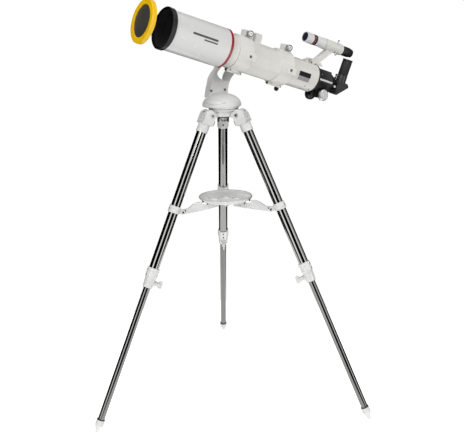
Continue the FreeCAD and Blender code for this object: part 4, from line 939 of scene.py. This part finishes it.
def collar_pieces(index):
    """Heads of the spreader's pin and the collar's set screw."""
    pin = local(LEG[index], JOINTS[f"spreader_fold_{index}"]["pos_m"])
    data = screw(bmesh.new(), at((319.5, 0, 19.2), UP), 2.2, 1.3)
    for side, outward in ((8.0, NEAR), (-8.0, FAR)):
        disc(data, at((pin.x, side, pin.z), outward), 3.2, 1.8, 0.6)
    leg_piece("collar_screws", index, data, "dark_steel", "leg", "black_steel")
    rivet = bmesh.new()
    for side, outward in ((2.9, NEAR), (-2.9, FAR)):
        disc(rivet, at((158, side, 685), outward), 2.6, 1.2, 0.5)
    make_piece(f"arm_rivet_{index}", rivet, HUB[index], "dark_steel", f"spreader_{index}", "black_steel")


def clamp_pieces(index):
    """Two screws in the wide sleeve and a dark ring where the lower tube comes out."""
    data = bmesh.new()
    for station in (527.5, 544):
        screw(data, at((station, 0, -19.4), (0, 0, -1)), 2.5, 1.5)
        screw(data, at((station, 0, 19.4), UP), 2.0, 1.0)
    leg_piece("clamp_bolts", index, data, "dark_steel", "leg", "black_steel")
    wiper = hoop(bmesh.new(), at((0, 0, 0), FORWARD), 11.25, 13.9, 584.9, 586.2)
    leg_piece("clamp_wiper", index, wiper, "rubber", "leg", "black_plastic")


def foot_pieces(index):
    """Dark ring at the top of the foot and grip ridges round it."""
    ring = hoop(bmesh.new(), at((0, 0, 0), FORWARD), 11.2, 13.2, 1037.2, 1040.4)
    leg_piece("foot_ring", index, ring, "rubber", "leg_end", "black_plastic")
    ridges = bmesh.new()
    for station in (1045, 1049, 1053):
        hoop(ridges, at((0, 0, 0), FORWARD), 13.2, 14.0, station, station + 1.6)
    leg_piece("foot_ridges", index, ridges, "foot_rubber", "leg_end", "grey_plastic")


# ---------------------------------------------------------------- pieces on the tray
def tray_pieces():
    """Centre screw, rings round the eyepiece holes, a painted shadow line round the rim, painted shadow in the
    notches at the rim and stiffening ribs beneath.
    """
    whole = Matrix.Identity(4)
    centre = disc(bmesh.new(), Matrix.Translation((0, 0, 706.8)), 8.5, 2.4, 0.6, 48)
    screw(centre, Matrix.Translation((0, 0, 709.1)), 4.2, 1.4)
    make_piece("tray_screw", centre, whole, "white_plastic", "tray", "white_plastic")
    rings = bmesh.new()
    for name in ("tray_hole_a", "tray_hole_b"):
        spot = Vector(MOUNTS[name]["pos_m"]) / MM
        hoop(rings, Matrix.Translation((spot.x, spot.y, 0)), 16.05, 18.0, 702.8, 703.7, 64)
    hoop(rings, whole, 60, 61.4, 702.8, 703.5, 96)
    # painted shadow: grey line round the tray's rim
    rim_shadow_line = hoop(bmesh.new(), whole, 86.6, 88.4, 711.2, 712.2, 128)
    make_piece("tray_rim_shadow_line", rim_shadow_line, whole, "plate_grey", "tray", "grey_plastic")
    make_piece("tray_rings", rings, whole, "white_plastic", "tray", "white_plastic")
    ribs = bmesh.new()
    for step in range(6):
        turn = Matrix.Rotation(math.radians(30 + 60 * step), 4, "Z")
        slab(ribs, rounded_rectangle(64, 2.0, 0.5, 2), 693.0, 698.6, turn @ Matrix.Translation((42, 0, 0)))
    make_piece("tray_ribs", ribs, whole, "white_plastic", "tray", "white_plastic")
    # painted shadow: black blocks where the notches at the rim are
    notch_shadows = bmesh.new()
    for index in LEGS:
        place = in_millimetres(HUB[index]) @ Matrix.Translation((88.9, 0, 0))
        slab(notch_shadows, rounded_rectangle(3.0, 6.4, 0.6, 2), 701.4, 707.0, place)
    make_piece("tray_notch_shadows", notch_shadows, whole, "shadow", "tray", "black_plastic")


# ---------------------------------------------------------------- camera, floor and light
FLOOR_RADIUS = 0.85
FLOOR_GLOW = 0.6            # lifts the floor to the backdrop's white


def stage():
    """Round white floor under the tripod."""
    data = bmesh.new()
    bmesh.ops.create_circle(data, cap_ends=True, segments=96, radius=FLOOR_RADIUS)
    mesh = bpy.data.meshes.new("floor")
    data.to_mesh(mesh)
    data.free()
    floor = bpy.data.objects.new("floor", mesh)
    bpy.context.scene.collection.objects.link(floor)
    n = Nodes("floor")
    tint = n.ramp(n.noise(n.place(), 1.5, 3), [(0.3, (0.94, 0.94, 0.94)), (0.7, (0.96, 0.96, 0.96))])
    n.shader.inputs["Emission Color"].default_value = (1.0, 1.0, 1.0, 1.0)
    n.shader.inputs["Emission Strength"].default_value = FLOOR_GLOW
    mesh.materials.append(n.finish(tint, 0.85))


def area_light(name, place, target, size, power):
    """Rectangular lamp at a place, turned to a target."""
    light = bpy.data.lights.new(name, "AREA")
    light.shape = "RECTANGLE"
    light.size, light.size_y = size
    light.energy = power
    lamp = bpy.data.objects.new(name, light)
    lamp.location = place
    lamp.rotation_euler = (Vector(target) - Vector(place)).to_track_quat("-Z", "Y").to_euler()
    bpy.context.scene.collection.objects.link(lamp)


WORLD_STRENGTH = 2.2
CEILING = (0.3, 0.3, 0.3, 1)            # reflected only
BACKDROP = (0.46, 0.46, 0.46, 1)        # seen by the camera only
CAMERA_AZIMUTH = 57.5                   # degrees from +X to the camera, seen from above
# (degrees to the right of the camera, brightness): soft boxes with dark studio between them
STUDIO = ((-180, 0.0), (-52, 0.0), (-46, 1.0), (-22, 1.0), (-16, 0.0),
          (38, 0.0), (44, 1.0), (62, 1.0), (68, 0.0), (180, 0.0))


def studio_world():
    """Surroundings: a pale ceiling and soft boxes for the reflections, and a pale backdrop for the camera."""
    world = bpy.data.worlds.new("studio")
    bpy.context.scene.world = world
    world.use_nodes = True
    tree = world.node_tree
    add, link = tree.nodes.new, tree.links.new
    turn = add("ShaderNodeMapping")
    turn.inputs["Rotation"].default_value = (0, 0, math.radians(-CAMERA_AZIMUTH))
    link(add("ShaderNodeTexCoord").outputs["Generated"], turn.inputs["Vector"])
    split = add("ShaderNodeSeparateXYZ")
    link(turn.outputs["Vector"], split.inputs[0])
    angle = add("ShaderNodeMath")
    angle.operation = "ARCTAN2"
    link(split.outputs["Y"], angle.inputs[0])
    link(split.outputs["X"], angle.inputs[1])
    share = add("ShaderNodeMapRange")
    share.inputs["From Min"].default_value = -math.pi
    share.inputs["From Max"].default_value = math.pi
    link(angle.outputs[0], share.inputs["Value"])
    bands = add("ShaderNodeValToRGB")
    elements = bands.color_ramp.elements
    while len(elements) < len(STUDIO):
        elements.new(0.5)
    for element, (degrees, level) in zip(elements, STUDIO):
        element.position = 0.5 + degrees / 360
        element.color = (level, level, level, 1)
    link(share.outputs["Result"], bands.inputs["Fac"])
    ceiling = add("ShaderNodeMapRange")
    ceiling.inputs["From Min"].default_value = 0.6
    ceiling.inputs["From Max"].default_value = 0.72
    link(split.outputs["Z"], ceiling.inputs["Value"])
    sides = add("ShaderNodeMix")
    sides.data_type = "RGBA"
    link(ceiling.outputs["Result"], sides.inputs["Factor"])
    link(bands.outputs["Color"], sides.inputs[COLOUR_A])
    sides.inputs[COLOUR_B].default_value = CEILING
    seen = add("ShaderNodeMix")
    seen.data_type = "RGBA"
    link(add("ShaderNodeLightPath").outputs["Is Camera Ray"], seen.inputs["Factor"])
    link(sides.outputs[COLOUR_OUT], seen.inputs[COLOUR_A])
    seen.inputs[COLOUR_B].default_value = BACKDROP
    backdrop = tree.nodes["Background"]
    backdrop.inputs["Strength"].default_value = WORLD_STRENGTH
    link(seen.outputs[COLOUR_OUT], backdrop.inputs["Color"])


def lights():
    """Key, fill and back lamps about the mount, a soft sun and the studio round them."""
    centre = (0, 0, 0.9)
    area_light("key", (2.6, 3.4, 3.0), centre, (1.6, 1.2), 37)
    area_light("fill", (-3.0, 2.4, 1.8), centre, (2.0, 2.0), 9)
    area_light("back", (-1.4, -3.4, 2.6), centre, (2.4, 2.0), 16)
    sun = bpy.data.lights.new("soft_sun", "SUN")
    sun.energy = 0.9
    sun.angle = math.radians(40)
    lamp = bpy.data.objects.new("soft_sun", sun)
    lamp.rotation_euler = (math.radians(-18), math.radians(14), 0)
    bpy.context.scene.collection.objects.link(lamp)
    studio_world()


def camera():
    """Camera of the photo: beside the telescope, looking slightly down."""
    eye = Vector((1.2933, 2.0295, 1.2883))
    yaw, pitch, roll = (math.radians(angle) for angle in (212.98, 15.19, -1.21))
    forward = Vector((math.sin(yaw) * math.cos(pitch), math.cos(yaw) * math.cos(pitch), -math.sin(pitch)))
    level = Vector((math.cos(yaw), -math.sin(yaw), 0))
    upright = level.cross(forward)
    right = level * math.cos(roll) + upright * math.sin(roll)
    up = upright * math.cos(roll) - level * math.sin(roll)
    data = bpy.data.cameras.new("camera")
    data.sensor_width = 36.0
    data.lens = 57.296
    lens = bpy.data.objects.new("camera", data)
    lens.matrix_world = Matrix.Translation(eye) @ Matrix((right, up, -forward)).transposed().to_4x4()
    bpy.context.scene.collection.objects.link(lens)
    bpy.context.scene.camera = lens


dress_nodes()
WHOLE_PIECES = (red_band, tube_plates, small_screws, lens_retainer, filter_felt, shield_lining_rings,
                clamp_knobs, clamp_ribs, pad_inserts, hinge_caps, side_highlight_strips, housing_details,
                taper_thumbscrew, far_knob_tyre, knob_centre, diagonal_cheeks, eyepiece_pieces,
                finder_pieces, finder_foot, mount_pieces, dome_crest, pivot_screws, tray_pieces)
for build in WHOLE_PIECES:
    build()
for leg in LEGS:
    for build in (bracket_pieces, collar_pieces, clamp_pieces, foot_pieces):
        build(leg)
stage()
lights()
camera()
bpy.context.scene.view_settings.view_transform = "Standard"
